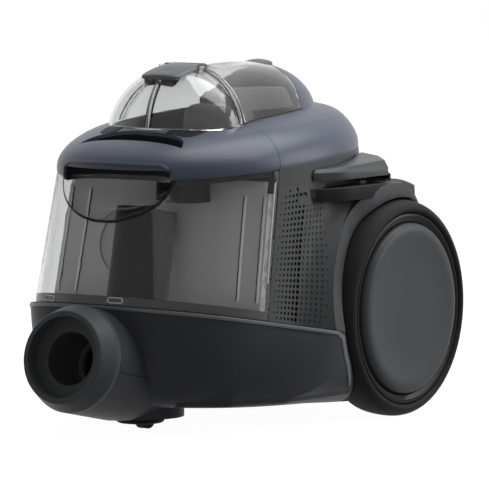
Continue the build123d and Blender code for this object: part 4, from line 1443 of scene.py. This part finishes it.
    def build(self) -> None:
        """Dress the body and set its pedals, the painted shade under them and the arch tips."""
        for node in ("body_shell", "bulkhead", "exhaust_grille"):
            self.book.dress(node, "body_skin")
        for side in Side:
            self.book.dress("wheel_arch_" + side.word, "arch_skin")
            self.book.dress("pedal_pin_" + side.word, "steel")
            settle(self.pedal(side), "pedal_form_" + side.word, side.word + "_pedal", "grey_plastic",
                   self.book["pedal_skin"], ["pedal_" + side.word], smooth=30.0)
            # Black bands: painted shade in the hollow under the pedal.
            settle(self.recess(side), "pedal_recess_" + side.word, "chassis", "black_plastic")
            settle(self.arch_tail(side), "arch_tail_" + side.word, "chassis", "body_plastic",
                   self.book["arch_skin"], smooth=35.0)
        self.book.dress("exhaust_frame", "black_skin")
        self.book.dress("exhaust_filter", "filter_cloth")
        self.book.dress("cord_outlet", "soft_rubber")


@dataclass
class Wheels:
    """The two large wheels: tyre, gloss ring and dished cap, all turned smooth."""

    book: FinishBook
    segments: int = 144
    seat_x: float = 0.1370
    tyre_line: Line = (
        (0.0843, 0.1395), (0.0858, 0.1412), (0.0880, 0.1416), (0.0910, 0.1402), (0.0932, 0.1370),
        (0.0946, 0.1325), (0.0950, 0.1270), (0.0948, 0.1210), (0.0940, 0.1140), (0.0925, 0.1080),
        (0.0905, 0.1053), (0.0885, 0.1050))
    cap_line: Line = (
        (0.0, 0.1416), (0.020, 0.14168), (0.042, 0.1422), (0.056, 0.1432), (0.064, 0.1440), (0.0688, 0.1440),
        (0.0722, 0.1431), (0.0744, 0.1412), (0.0752, 0.1388))
    ring_line: Line = (
        (0.0754, 0.1378), (0.0762, 0.1388), (0.0790, 0.1398), (0.0815, 0.1402), (0.0836, 0.1394),
        (0.0842, 0.1375))

    def seated(self, line: Sequence[Pair]) -> list[Pair]:
        """Closed profile of a piece that sits flat on the wheel core."""
        return eased_line(line) + [(line[-1][0], self.seat_x), (line[0][0], self.seat_x)]

    def build(self) -> None:
        """Turn and dress both wheels."""
        tyre = eased_line(self.tyre_line) + [(self.tyre_line[0][0], self.tyre_line[-1][1])]
        turned = ((tyre, "tyre_round_", "tyre", "tyre_rubber", "tyre_"),
                  (self.seated(self.cap_line), "cap_round_", "hub_grey", "hub_skin", "hub_cap_"),
                  (self.seated(self.ring_line), "ring_round_", "gloss_black", "gloss_black", "trim_ring_"))
        for side in Side:
            for profile, piece, slot, finish, node in turned:
                settle(lathe(profile, side, self.segments, piece), piece + side.word, side.word + "_wheel",
                       slot, self.book[finish], [node + side.word], smooth=35.0)
            self.book.dress("wheel_core_" + side.word, "black_skin")
            self.book.dress("axle_" + side.word, "steel")


@dataclass
class FrontBase:
    """Base tub with its eased sides, a lip with a painted highlight, nose, inlet and caster.

    Each step of the foot's roll is a drop and a tuck. The lip's middle is a place along Y and a drop below
    the rim. Sizes of bands are width and height.
    """

    book: FinishBook
    front_y: float = -0.118
    foot_z: float = 0.0290
    foot_roll: Line = ((0.0018, 0.0007), (0.0034, 0.0022), (0.0046, 0.0044))
    rim_gap: float = 0.0008
    level_gap: float = 0.001
    proud: float = 0.0003
    sink: float = 0.0002
    wall: float = 0.0012
    steps: tuple[int, int] = (70, 40)
    soft_passes: int = 45
    cheek_y: Pair = (-0.040, 0.060)
    cheek_step: float = 0.001
    cheek_drop: float = 0.003
    cheek_gap: float = 0.0006
    blend_columns: int = 10
    blend_sink: float = 0.0007
    lip_drop: float = 0.0015
    lip_overlap: float = 0.001
    lip_middle: Pair = (-0.020, 0.0023)
    lip_size: Pair = (0.0030, 0.0012)
    cheek_inset: float = 0.0014
    cheek_size: Pair = (0.0042, 0.0012)
    cheek_lean: float = -0.15
    rims: dict[Side, list[Vector]] = field(default_factory=dict)
    ends: dict[Side, list[Vector]] = field(default_factory=dict)

    def rear_edge(self, surface: Surface, side: Side, z: float) -> float:
        """Place along Y where the cheek ends in front of the wheel.

        Args:
            surface: outer surface of the base.
            side: which side.
            z: height.

        Returns:
            The last place that still has the cheek's reach.
        """
        y, limit = self.cheek_y
        last = surface.reach(side, y, z)
        while y < limit:
            here = surface.reach(side, y + self.cheek_step, z)
            if here < last - self.cheek_drop:
                break
            last = here
            y += self.cheek_step
        return y

    def side_places(self, surface: Surface, side: Side) -> list[list[Pair]]:
        """Grid of places over a side, from the front to the cheek's end and from the foot to the rim.

        Args:
            surface: outer surface of the base.
            side: which side.

        Returns:
            Places along Y and Z.
        """
        across, up = self.steps
        tall = SEAMS.rim_at(0.0) - self.level_gap - self.foot_z
        ends = [self.rear_edge(surface, side, self.foot_z + tall * r / up) - self.cheek_gap
                for r in range(up + 1)]
        flat = []
        for r in range(up + 1):
            near = ends[max(r - 2, 0):r + 3]
            end = sum(near) / len(near)
            row = [self.front_y + (end - self.front_y) * c / across for c in range(across + 1)]
            flat.append([(y, self.foot_z + (SEAMS.rim_at(y) - self.rim_gap - self.foot_z) * r / up)
                         for y in row])
        return flat

    def side_skin(self, side: Side) -> Mesh:
        """Thin skin that eases the hollow between the tub and its cheek.

        Args:
            side: which side.

        Returns:
            The closed skin.
        """
        surface = Surface("base_shell")
        across, up = self.steps
        flat = self.side_places(surface, side)
        base = np.array([[surface.reach(side, y, z) for y, z in line] for line in flat])
        tight = np.array([stretched([y for y, _ in line], row) for line, row in zip(flat, base)])
        grid = np.maximum(softened(tight, self.soft_passes), base - self.sink).tolist()
        self.rims[side] = [Vector((side.value * (x + self.proud), y, z - self.lip_drop))
                           for x, (y, z) in zip(grid[up], flat[up])]
        self.ends[side] = [Vector((side.value * (grid[r][across - 1] + self.proud),
                                   flat[r][across - 1][0] - self.cheek_inset, flat[r][across - 1][1]))
                           for r in range(4, up)]
        builder = bmesh.new()
        skins = []
        for depth in (-self.proud, self.wall):
            skin = []
            for r in range(up + 1):
                line = []
                for c in range(across + 1):
                    share = min(1.0, c / self.blend_columns)
                    reach = base[r][c] + (grid[r][c] - base[r][c]) * share - depth
                    reach -= self.blend_sink * (1 - share)
                    line.append(builder.verts.new((side.value * reach, *flat[r][c])))
                skin.append(line)
            foot = skin[0]
            for drop, tuck in self.foot_roll:
                roll = Vector((-side.value * tuck, 0, -drop))
                skin.insert(0, [builder.verts.new(vert.co + roll) for vert in foot])
            skins.append(skin)
        return closed_sheet(builder, *skins, "base_side")

    def lip(self) -> Mesh:
        """Lip that runs round the rim from one cheek over the front to the other, in a light finish that
        paints its highlight.

        Returns:
            The lip.
        """
        surface = Surface("base_shell")
        y, drop = self.lip_middle
        middle = Vector((0, y, SEAMS.rim_at(y) - drop))
        front = []
        for degrees in range(-150, -29):
            turn = math.radians(degrees)
            aim = Vector((math.cos(turn), math.sin(turn), -SEAMS.rim_slope * math.sin(turn)))
            found = surface.hit(middle + aim * ABOVE, -aim)
            if found and found[0].y < self.front_y - self.lip_overlap:
                front.append(found[0])
        places = self.rims[Side.LEFT][::-1] + front + self.rims[Side.RIGHT]
        path = []
        for index, place in enumerate(places):
            step = places[min(index + 1, len(places) - 1)] - places[max(index - 1, 0)]
            path.append((place, Vector((step.y, -step.x, 0)).normalized()))
        return swept_band(path, *self.lip_size, self.book["lip_skin"])

    def cheek_edge(self, side: Side) -> Mesh:
        """Eased edge down the rear of a cheek, in a light finish that paints its highlight.

        Args:
            side: which side.

        Returns:
            The edge.
        """
        out = Vector((side.value, self.cheek_lean, 0)).normalized()
        return swept_band([(place, out) for place in self.ends[side]], *self.cheek_size,
                          self.book["lip_skin"])

    def build(self) -> None:
        """Dress the base and lay its sides and lip."""
        for node in ("base_shell", "nose_upper", "nose_lower"):
            self.book.dress(node, "base_skin")
        self.book.dress("inlet_collar", "collar_skin")
        self.book.dress("inlet_sleeve", "body_skin")
        for node in ("inlet_duct", "bin_tray", "caster_fork"):
            self.book.dress(node, "black_skin")
        self.book.dress("caster_wheel", "soft_rubber")
        self.book.dress("caster_pin", "steel")
        for side in Side:
            settle(self.side_skin(side), "base_side_" + side.word, "chassis", "base_plastic",
                   self.book["base_skin"])
        # Lip and cheek edges in the light finish that paints their highlight.
        bright = merged([self.lip()] + [self.cheek_edge(side) for side in Side], "base_edges")
        settle(bright, "base_lip", "chassis", "base_plastic")


@dataclass
class DustBin:
    """Clear bin with its floor, riser, screen, rear edges and clip rings; the rear edges are light strips
    that paint the highlight where the clear wall ends.

    The head of the screen is given by its half width, its place along Y and its height, and the search for
    the screen's edge by its start, end and step along X.
    """

    book: FinishBook
    edge_z: Pair = (0.129, 0.214)
    edge_inset: float = 0.0036
    edge_size: Pair = (0.0013, 0.0010)
    clips: Line = ((-0.055, 0.1146), (0.0185, 0.1170))
    clip_half: Pair = (0.0072, 0.0022)
    clip_power: float = 4.5
    clip_size: Pair = (0.0011, 0.0016)
    guide_z: Pair = (0.1125, 0.2015)
    guide_search: Point = (0.070, 0.112, 0.0005)
    guide_height: float = 0.0014
    bright_guides: Pair = (0.0042, 0.0240)
    bright_width: float = 0.0024
    dark_guides: Pair = (0.0060, 0.0258)
    dark_width: float = 0.0008
    head: Point = (0.1012, -0.0474, 0.2080)
    head_size: Pair = (0.0136, 0.0014)
    head_bow: float = 0.0004
    screen_lean: float = 0.2143

    def rear_edge(self, side: Side) -> Mesh:
        """Light strip where the clear wall ends at the split, a painted highlight on the wall's edge.

        Args:
            side: which side.

        Returns:
            The strip.
        """
        surface = Surface("dust_bin")
        levels = [self.edge_z[0] + (self.edge_z[1] - self.edge_z[0]) * step / 40 for step in range(41)]
        found = [surface.from_side(side, SEAMS.split_at(z) - self.edge_inset, z) for z in levels]
        return swept_band([spot for spot in found if spot], *self.edge_size, self.book["clear_edge"])

    def screen_head(self) -> Mesh:
        """Strip of screen that closes the way between the screen and the lid.

        Returns:
            The strip.
        """
        out = Vector((0, -1, self.screen_lean)).normalized()
        half, y, z = self.head
        shares = [step / 20 - 1 for step in range(41)]
        path = [(Vector((half * share, y + self.head_bow * share ** 2, z)), out) for share in shares]
        return swept_band(path, *self.head_size, self.book["mesh_weave"])

    def guides(self, insets: Sequence[float], width: float, finish: str) -> Mesh:
        """Guide lines that run down the screen beside its upright edges.

        Args:
            insets: distances from the screen's edge.
            width: width of each line.
            finish: finish name.

        Returns:
            The lines of both sides.
        """
        surface = Surface("mesh_screen")
        levels = [self.guide_z[0] + (self.guide_z[1] - self.guide_z[0]) * step / 32 for step in range(33)]
        tried = np.arange(*self.guide_search)
        bands = []
        for side in Side:
            edge = [max(x for x in tried if surface.from_front(side.value * x, z)) for z in levels]
            for inset in insets:
                found = [surface.from_front(side.value * (x - inset), z) for x, z in zip(edge, levels)]
                path = [spot for spot in found if spot]
                bands.append(swept_band(path, width, self.guide_height, self.book[finish]))
        return merged(bands, "guides")

    def clip_ring(self, x: float, z: float) -> Mesh:
        """Oblong ring round a clip window on the lower band.

        Args:
            x: middle of the ring.
            z: height of its middle.

        Returns:
            The ring.
        """
        surface = Surface("dust_bin", "bin_floor")
        wide, tall = self.clip_half
        outline = rounded_outline((x - wide, z - tall), (x + wide, z + tall), self.clip_power, 40)
        found = [surface.from_front(*place) for place in outline]
        return swept_band([spot for spot in found if spot], *self.clip_size, self.book["clear_edge"],
                          closed=True)

    def build(self) -> None:
        """Dress the bin and lay its edges and rings."""
        self.book.dress("dust_bin", "clear_wall")
        self.book.dress("bin_floor", "smoke_skin")
        self.book.dress("riser_tube", "riser_skin")
        self.book.dress("mesh_screen", "mesh_weave")
        # Light strips on the bin's rear edges: painted highlight.
        edges = merged([self.rear_edge(side) for side in Side], "bin_edges")
        settle(edges, "bin_rear_edges", "bin", "clear_plastic")
        settle(self.screen_head(), "screen_head", "bin", "mesh_grey")
        # The bright guides wear the light finish that paints highlights on clear edges.
        bright = self.guides(self.bright_guides, self.bright_width, "clear_edge")
        settle(bright, "screen_guides", "bin", "clear_plastic")
        dark = self.guides(self.dark_guides, self.dark_width, "gloss_black")
        settle(dark, "screen_guide_lines", "bin", "black_plastic")
        rings = merged([self.clip_ring(*place) for place in self.clips], "clip_rings")
        settle(rings, "bin_clip_rings", "bin", "grey_plastic")


@dataclass
class Latch:
    """Latch of the bin lid: a grey plate with a finger mark on a clear block."""

    book: FinishBook
    lift: float = 0.0004
    fall: float = 0.0085
    climb_power: float = 1.7
    crown: float = 4.0
    mark_half: Pair = (0.0062, 0.0050)
    mark_y: float = 0.0125
    mark_depth: float = 0.0007
    plate: float = 0.0030
    plate_power: float = 7.0
    overhang: float = 0.0030
    rear: float = 0.0002
    slack: float = 0.0004
    sink: float = 0.0003
    block_gap: float = 0.0001
    block_side: float = 0.0002
    block_front: float = 0.0006
    block_rear: float = 0.0040
    block_edge: float = 0.0002
    block_power: float = 8.0

    def __post_init__(self) -> None:
        """Read the latch's box and the canopy under it."""
        self.low, self.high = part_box("latch_tab")
        self.dome = Surface("front_dome", "rear_dome")

    def top(self, x: float, y: float) -> float:
        """Height of the crowned plate, which climbs to the rear round its finger mark.

        Args:
            x: place along X.
            y: place along Y.

        Returns:
            The height.
        """
        share = (y - self.low[1]) / (self.high[1] - self.low[1])
        climb = 1 - (1 - min(max(share, 0.0), 1.0)) ** self.climb_power
        ahead = (y - self.low[1] - self.mark_y) / self.mark_half[1]
        dish = max(0.0, 1 - ((x / self.mark_half[0]) ** 2 + ahead ** 2))
        return (self.high[2] + self.lift - self.fall * (1 - climb) - self.crown * x * x
                - self.mark_depth * dish)

    def plate_under(self, x: float, y: float) -> float:
        """Height of the plate's underside."""
        return self.top(x, y) - self.plate

    def block_top(self, x: float, y: float) -> float:
        """Height of the clear block's top, just under the plate."""
        return self.plate_under(x, y) - self.block_gap

    def block_under(self, x: float, y: float) -> float:
        """Height of the clear block's foot on the canopy, always below its top.

        Args:
            x: place along X.
            y: place along Y.

        Returns:
            The height.
        """
        found = self.dome.from_above(x, y)
        limit = self.plate_under(x, y) - self.slack * (abs(x) >= self.mark_half[0])
        return min(found[0].z if found else self.low[2], limit) - self.sink

    def build(self) -> None:
        """Set the plate and the block."""
        low, high = self.low, self.high
        outline = rounded_outline((low[0] - self.overhang, low[1]),
                                  (high[0] + self.overhang, high[1] + self.rear), self.plate_power)
        settle(pillow(outline, self.top, self.plate_under, "latch_plate"), "latch_plate", "latch",
               "grey_plastic", self.book["tab_skin"], ["latch_tab"], smooth=30.0)
        outline = rounded_outline((low[0] - self.block_side, low[1] + self.block_front),
                                  (high[0] + self.block_side, high[1] - self.block_rear), self.block_power)
        settle(pillow(outline, self.block_top, self.block_under, "latch_block", edge=self.block_edge),
               "latch_block", "latch", "clear_plastic", self.book["clear_dome"], smooth=30.0)


@dataclass
class LidTab:
    """Rounded tab that lifts the rear dome."""

    book: FinishBook
    crown: float = 24.0
    fall: float = 0.0026
    thickness: float = 0.0012
    sink: float = 0.0003
    power: float = 3.6
    edge: float = 0.0016

    def __post_init__(self) -> None:
        """Read the tab's box and the surface under it."""
        self.low, self.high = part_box("lid_tab")
        self.dome = Surface("rear_dome", "tail_fin")

    def top(self, x: float, y: float) -> float:
        """Height of the crowned top."""
        share = (y - self.low[1]) / (self.high[1] - self.low[1])
        return self.high[2] - self.crown * x * x - self.fall * (2 * share - 1) ** 2

    def under(self, x: float, y: float) -> float:
        """Height of the foot on the canopy, always below the top."""
        found = self.dome.from_above(x, y)
        return min(found[0].z if found else self.low[2], self.top(x, y) - self.thickness) - self.sink

    def build(self) -> None:
        """Set the tab."""
        plan = rounded_outline(self.low[:2], self.high[:2], self.power)
        settle(pillow(plan, self.top, self.under, "tab_round", edge=self.edge), "lid_tab_round", "filter_lid",
               "grey_plastic", self.book["tab_skin"], ["lid_tab"], smooth=30.0)


@dataclass
class Covers:
    """Blue covers and the clear canopy with its ribs and lines."""

    book: FinishBook
    foot_z: float = 0.2585
    rib: Pair = (0.0036, 0.0030)
    rib_shift: float = 0.0027
    nose_rib: Pair = (0.0042, 0.0030)
    nose_y: float = -0.034
    nose_turn: float = 70.0
    nose_overlap: float = 0.004
    line: Pair = (0.0011, 0.0013)
    front_line: float = -0.0052
    rear_line: float = 0.0008
    ring_ends: Pair = (0.012, 0.976)
    ray_length: float = 0.12
    ring_reach: float = 0.03
    nose_reach: float = 0.02
    gap_half: float = 0.052
    gap_share: float = 0.985
    gap_power: int = 5
    gap_y: Pair = (-0.0846, -0.050)
    gap_front: Pair = (-0.101, -0.0935)
    gap_step: float = 0.0005
    gap_drop: float = 0.003
    gap_floor: float = 0.25
    gap_skins: Pair = (0.0004, -0.0008)
    gap_steps: tuple[int, int] = (60, 8)
    grip_size: Pair = (0.0034, 0.0020)
    grip_limit: float = -0.10
    grip: Line = (
        (-0.0555, 0.2195), (-0.0550, 0.2235), (-0.0530, 0.2275), (-0.0490, 0.2302), (-0.0440, 0.2312),
        (-0.0250, 0.2318), (0.0, 0.2320), (0.0250, 0.2318), (0.0440, 0.2312), (0.0490, 0.2302),
        (0.0530, 0.2275), (0.0550, 0.2235), (0.0555, 0.2195))

    def split_ring(self, node: str, shift: float) -> list[Spot]:
        """Path over the canopy beside the split.

        Args:
            node: clear dome that it lies on.
            shift: distance from the split, negative in front.

        Returns:
            Points with outward directions.
        """
        lean = SEAMS.split_lean
        up = Vector((0, math.sin(lean), math.cos(lean)))
        away = Vector((0, math.cos(lean), -math.sin(lean)))
        climb = (self.foot_z - SEAMS.split_z) / math.cos(lean)
        foot = Vector((0, SEAMS.split_y, SEAMS.split_z)) + up * climb + away * shift
        surface = Surface(node)
        path = []
        for step in range(97):
            turn = math.pi * (self.ring_ends[0] + self.ring_ends[1] * step / 96)
            aim = Vector((math.cos(turn), 0, 0)) + up * math.sin(turn)
            found = surface.hit(foot + aim * self.ray_length, -aim)
            if found and (found[0] - foot).length > self.ring_reach:
                out = found[1] - away * found[1].dot(away)
                path.append((found[0], out.normalized()))
        return path

    def nose_line(self, shift: float) -> list[Spot]:
        """Path down the front of the canopy from the latch to the cover.

        Args:
            shift: distance from the middle plane.

        Returns:
            Points with outward directions.
        """
        surface = Surface("front_dome")
        middle = Vector((shift, self.nose_y, self.foot_z))
        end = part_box("latch_tab")[0][1] + self.nose_overlap
        path = []
        for step in range(60):
            turn = math.radians(1 + self.nose_turn * step / 59)
            aim = Vector((0, -math.cos(turn), math.sin(turn)))
            found = surface.hit(middle + aim * self.ray_length, -aim)
            if found and found[0].y < end and (found[0] - middle).length > self.nose_reach:
                path.append((found[0], Vector((0, found[1].y, found[1].z)).normalized()))
        return path

    def gap_ends(self, cover: Surface, dome: Surface, x: float) -> Pair:
        """Front and rear of the strip of cover between the hand gap and the canopy.

        Args:
            cover: surface of the front cover.
            dome: surface of the front dome.
            x: place along X.

        Returns:
            The two places along Y.
        """
        foot, limit = self.gap_y
        while foot < limit:
            above, below = dome.from_above(x, foot), cover.from_above(x, foot)
            if below is None or (above and above[0].z > below[0].z):
                break
            foot += self.gap_step
        start = foot
        level = cover.from_above(x, foot - 2 * self.gap_step)
        while level and start > self.gap_front[0]:
            below = cover.from_above(x, start - self.gap_step)
            if below is None or below[0].z < level[0].z - self.gap_drop:
                break
            level = below
            start -= self.gap_step
        return max(start, self.gap_front[1]), foot

    def gap_trim(self) -> Mesh:
        """Black sheet laid on the cover between the hand gap and the foot of the canopy: painted shade of the
        dark opening there.

        Returns:
            The closed sheet.
        """
        cover, dome = Surface("front_cover"), Surface("front_dome")
        along, deep = self.gap_steps
        rows = []
        for step in range(along + 1):
            x = self.gap_half * self.gap_share * (2 * step / along - 1)
            start, foot = self.gap_ends(cover, dome, x)
            ease = math.sqrt(1 - abs(x / self.gap_half) ** self.gap_power)
            row = []
            for share in range(deep + 1):
                y = start + (foot - start) * (1 - ease * (1 - share / deep))
                below = cover.from_above(x, y)
                row.append((x, y, below[0].z if below else self.gap_floor))
            rows.append(row)
        builder = bmesh.new()
        skins = [[[builder.verts.new((x, y, z + lift)) for x, y, z in line] for line in zip(*rows)]
                 for lift in self.gap_skins]
        return closed_sheet(builder, *skins, "gap_trim")

    def grip_rim(self) -> Mesh:
        """Raised blue edge round the top of the grip opening.

        Returns:
            The edge.
        """
        cover = Surface("front_cover")
        found = [cover.from_front(x, z) for x, z in eased_line(self.grip, 4)]
        path = [spot for spot in found if spot and spot[0].y < self.grip_limit]
        return swept_band(path, *self.grip_size, self.book["cover_blue"])

    def build(self) -> None:
        """Dress the covers and lay the canopy's ribs and lines, the painted shade at the hand gap and the
        grip's edge.
        """
        for node in ("front_cover", "rear_cover", "tail_fin"):
            self.book.dress(node, "cover_blue")
        for node in ("front_dome", "rear_dome"):
            self.book.dress(node, "clear_dome")
        # The hand recess is black: painted shade of the shadow behind the grip bar.
        self.book.dress("hand_recess", "black_skin")
        self.book.dress("latch_pin", "tab_skin")
        self.book.dress("lid_gasket", "soft_rubber")
        clear, black = self.book["clear_rib"], self.book["gloss_black"]
        front = swept_band(self.split_ring("front_dome", -self.rib_shift), *self.rib, clear)
        nose = swept_band(self.nose_line(0.0), *self.nose_rib, clear)
        ribs = merged([front, nose], "front_ribs")
        settle(ribs, "front_dome_ribs", "bin_lid", "clear_plastic")
        rear = swept_band(self.split_ring("rear_dome", self.rib_shift), *self.rib, clear)
        settle(rear, "rear_dome_rib", "filter_lid", "clear_plastic")
        paths = [self.nose_line(-self.rib_shift), self.nose_line(self.rib_shift),
                 self.split_ring("front_dome", self.front_line)]
        lines = merged([swept_band(path, *self.line, black) for path in paths], "front_lines")
        settle(lines, "front_dome_lines", "bin_lid", "black_plastic")
        line = swept_band(self.split_ring("rear_dome", self.rear_line), *self.line, black)
        settle(line, "rear_dome_line", "filter_lid", "black_plastic")
        # Black sheet on the cover: painted shade of the opening at the hand gap.
        settle(self.gap_trim(), "hand_gap_trim", "bin_lid", "black_plastic", self.book["black_skin"])
        settle(self.grip_rim(), "grip_rim", "bin_lid", "blue_plastic")


@dataclass
class InnerWorks:
    """Cyclone head, filter cassette, motor, reel and the rest inside the body."""

    book: FinishBook
    deck_z: float = 0.2465
    shoulder: Pair = (0.037, -0.0405)
    shoulder_wall: Line = ((0.0215, 0.2400), (0.0215, 0.2560))
    shoulder_line: Line = (
        (0.0215, 0.2640), (0.0212, 0.2690), (0.0200, 0.2730), (0.0170, 0.2765), (0.0110, 0.2788),
        (0.0, 0.2795))
    cassette_levels: tuple[float, ...] = (0.2570, 0.2640, 0.2710, 0.2780, 0.2830, 0.2858)
    cassette_top: float = 0.2880
    cassette_side: float = 0.010
    cassette_y: Pair = (-0.0145, 0.076)
    cassette_steps: int = 24
    cassette_gap: float = 0.0050
    cassette_tuck: float = 0.0030
    cassette_crown: Line = ((0.0015, 0.0008), (0.005, 0.0))
    cassette_corner: float = 0.003
    dome_foot: float = 0.2625

    def head_deck(self) -> Mesh:
        """Dark deck and bowl of the cyclone head, cut level under the dome.

        Returns:
            The closed deck.
        """
        builder = bmesh.new()
        builder.from_mesh(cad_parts["cyclone_top"].data)
        bmesh.ops.remove_doubles(builder, verts=builder.verts, dist=MERGE)
        parts = builder.verts[:] + builder.edges[:] + builder.faces[:]
        cut = bmesh.ops.bisect_plane(builder, geom=parts, plane_co=(0, 0, self.deck_z), plane_no=(0, 0, 1),
                                     clear_outer=True)
        rim = [e for e in cut["geom_cut"] if isinstance(e, bmesh.types.BMEdge)]
        bmesh.ops.holes_fill(builder, edges=rim, sides=0)
        mesh = bpy.data.meshes.new("head_deck")
        builder.to_mesh(mesh)
        builder.free()
        return mesh

    def cassette(self) -> Mesh:
        """Filter cassette that fills one half of the rear dome to about half its height.

        Returns:
            The closed cassette.
        """
        surface = Surface("rear_dome")
        foot, top, side = self.cassette_levels[0], self.cassette_top, self.cassette_side
        builder = bmesh.new()
        rows = []
        for step in range(self.cassette_steps + 1):
            y = self.cassette_y[0] + (self.cassette_y[1] - self.cassette_y[0]) * step / self.cassette_steps
            from_end = min(step, self.cassette_steps - step)
            tuck = self.cassette_tuck * max(0.0, 1 - from_end / 2) ** 2
            wall = [(surface.reach(Side.RIGHT, y, max(z, self.dome_foot)) - self.cassette_gap - tuck, z)
                    for z in self.cassette_levels]
            edge = wall[-1][0]
            crown = [(edge - back, top - drop - tuck) for back, drop in self.cassette_crown]
            flat = [(side + self.cassette_corner, top - tuck), (side, top - self.cassette_corner - tuck),
                    (side, foot)]
            rows.append([builder.verts.new((x, y, z)) for x, z in wall + crown + flat])
        span_rings(builder, rows)
        builder.faces.new(rows[0])
        builder.faces.new(rows[-1])
        return tidy_mesh(builder, "cassette")

    def build(self) -> None:
        """Dress the inner pieces and set the ones that show through the canopy."""
        for node in ("motor_housing", "reel_bracket", "filter_seat", "cord_reel"):
            self.book.dress(node, "black_skin")
        for node in ("motor_can", "motor_rotor"):
            self.book.dress(node, "steel")
        self.book.dress("motor_cradle", "soft_rubber")
        self.book.dress("control_board", "board_skin")
        settle(self.head_deck(), "cyclone_deck", "bin_lid", "black_plastic", self.book["black_skin"],
               ["cyclone_top"], smooth=35.0)
        profile = [*self.shoulder_wall, *eased_line(self.shoulder_line)]
        settle(spun(profile, self.shoulder, "shoulder"), "cyclone_shoulder", "bin_lid", "grey_plastic",
               self.book["works_skin"], smooth=35.0)
        settle(self.cassette(), "filter_cassette", "chassis", "filter_grey", self.book["works_skin"],
               ["filter_drum"], smooth=35.0)


@dataclass(frozen=True)
class SoftBox:
    """A soft box that looks at the cleaner."""

    name: str
    place: Point
    size: Pair
    power: float
    mirrored: bool = True


@dataclass
class Studio:
    """Pale floor, soft boxes, white surround and the camera at the photograph's angle."""

    eye: Point = (2.8202, -4.1238, 0.5820)
    aim: Point = (0.04026, 0.010, 0.1541)
    view_angle: float = 4.866
    lamp_aim: Point = (0.0, 0.02, 0.14)
    lamps: tuple[SoftBox, ...] = (
        SoftBox("left_box", (-1.25, -0.55, 0.75), (0.9, 1.3), 1.5),
        SoftBox("right_box", (1.20, 1.15, 0.65), (0.9, 1.0), 14),
        SoftBox("top_box", (0.40, 0.45, 1.5), (1.3, 1.3), 31),
        SoftBox("front_box", (0.70, -1.60, 0.35), (0.8, 0.5), 4.5, mirrored=False))
    surround: Pair = (0.07, 1.0)
    floor_half: float = 6.0
    floor_tint: float = 0.12
    floor_glow: float = 0.97

    def hang(self, name: str, data: ID, place: Point, aim: Point) -> Object:
        """Hang a lamp or the camera so that it looks at a point.

        Args:
            name: object name.
            data: lamp or camera data.
            place: where it hangs.
            aim: the point.

        Returns:
            The object.
        """
        made = bpy.data.objects.new(name, data)
        made.location = place
        made.rotation_euler = (Vector(aim) - Vector(place)).to_track_quat("-Z", "Y").to_euler()
        bpy.context.scene.collection.objects.link(made)
        return made

    def camera(self) -> None:
        """Place the camera."""
        data = bpy.data.cameras.new("camera")
        data.sensor_fit = "HORIZONTAL"
        data.angle = math.radians(self.view_angle)
        data.clip_end = 50
        bpy.context.scene.camera = self.hang("camera", data, self.eye, self.aim)

    def lamp(self, box: SoftBox) -> None:
        """Hang one soft box.

        Args:
            box: the soft box.
        """
        data = bpy.data.lights.new(box.name, "AREA")
        data.shape = "RECTANGLE"
        data.size, data.size_y = box.size
        data.energy = box.power
        self.hang(box.name, data, box.place, self.lamp_aim).visible_glossy = box.mirrored

    def seen_white(self, maker: TreeMaker) -> NodeSocket:
        """Mask of camera, glossy and transmitted rays.

        Args:
            maker: maker of the tree's nodes.

        Returns:
            A value socket, 1 where the ray sees the backdrop.
        """
        path = maker.node("ShaderNodeLightPath").outputs
        straight = maker.calc("MAXIMUM", path["Is Camera Ray"], path["Is Transmission Ray"])
        return maker.calc("MAXIMUM", straight, path["Is Glossy Ray"])

    def world(self) -> None:
        """White surround for the camera and a soft grey one for the light."""
        world = bpy.data.worlds.new("surround")
        world.use_nodes = True
        bpy.context.scene.world = world
        maker = TreeMaker(world.node_tree)
        level = maker.ranged(self.seen_white(maker), (0.0, 1.0), self.surround)
        maker.feed(world.node_tree.nodes["Background"], {"Color": (1, 1, 1, 1), "Strength": level})

    def floor(self) -> None:
        """Pale floor that keeps the cleaner's shadow."""
        builder = bmesh.new()
        bmesh.ops.create_grid(builder, x_segments=1, y_segments=1, size=self.floor_half)
        mesh = bpy.data.meshes.new("floor")
        builder.to_mesh(mesh)
        builder.free()
        floor = bpy.data.objects.new("floor", mesh)
        bpy.context.scene.collection.objects.link(floor)
        material, maker, shader = blank_material("floor_paper")
        glow = maker.calc("MULTIPLY", self.seen_white(maker), self.floor_glow)
        maker.feed(shader, {"Base Color": (self.floor_tint, self.floor_tint, self.floor_tint, 1),
                            "Roughness": 0.9, "Specular IOR Level": 0.1, "Emission Color": (1, 1, 1, 1),
                            "Emission Strength": glow})
        mesh.materials.append(material)

    def build(self) -> None:
        """Set up the whole studio."""
        self.camera()
        self.world()
        self.floor()
        for box in self.lamps:
            self.lamp(box)
        bpy.context.scene.view_settings.view_transform = "Standard"


def write_sizes() -> None:
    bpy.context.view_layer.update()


def main() -> None:
    """Build every sub-assembly in order."""
    logging.basicConfig(level=logging.INFO, format="%(message)s")
    book = FinishBook(FINISHES)
    for kind in (FrontBase, DustBin, RearBody, Flanks, Covers, Latch, LidTab, InnerWorks, Wheels):
        part = kind(book)
        part.build()
        LOG.info("%s done", type(part).__name__)
    Studio().build()
    write_sizes()


if __name__ == "__main__":
    main()
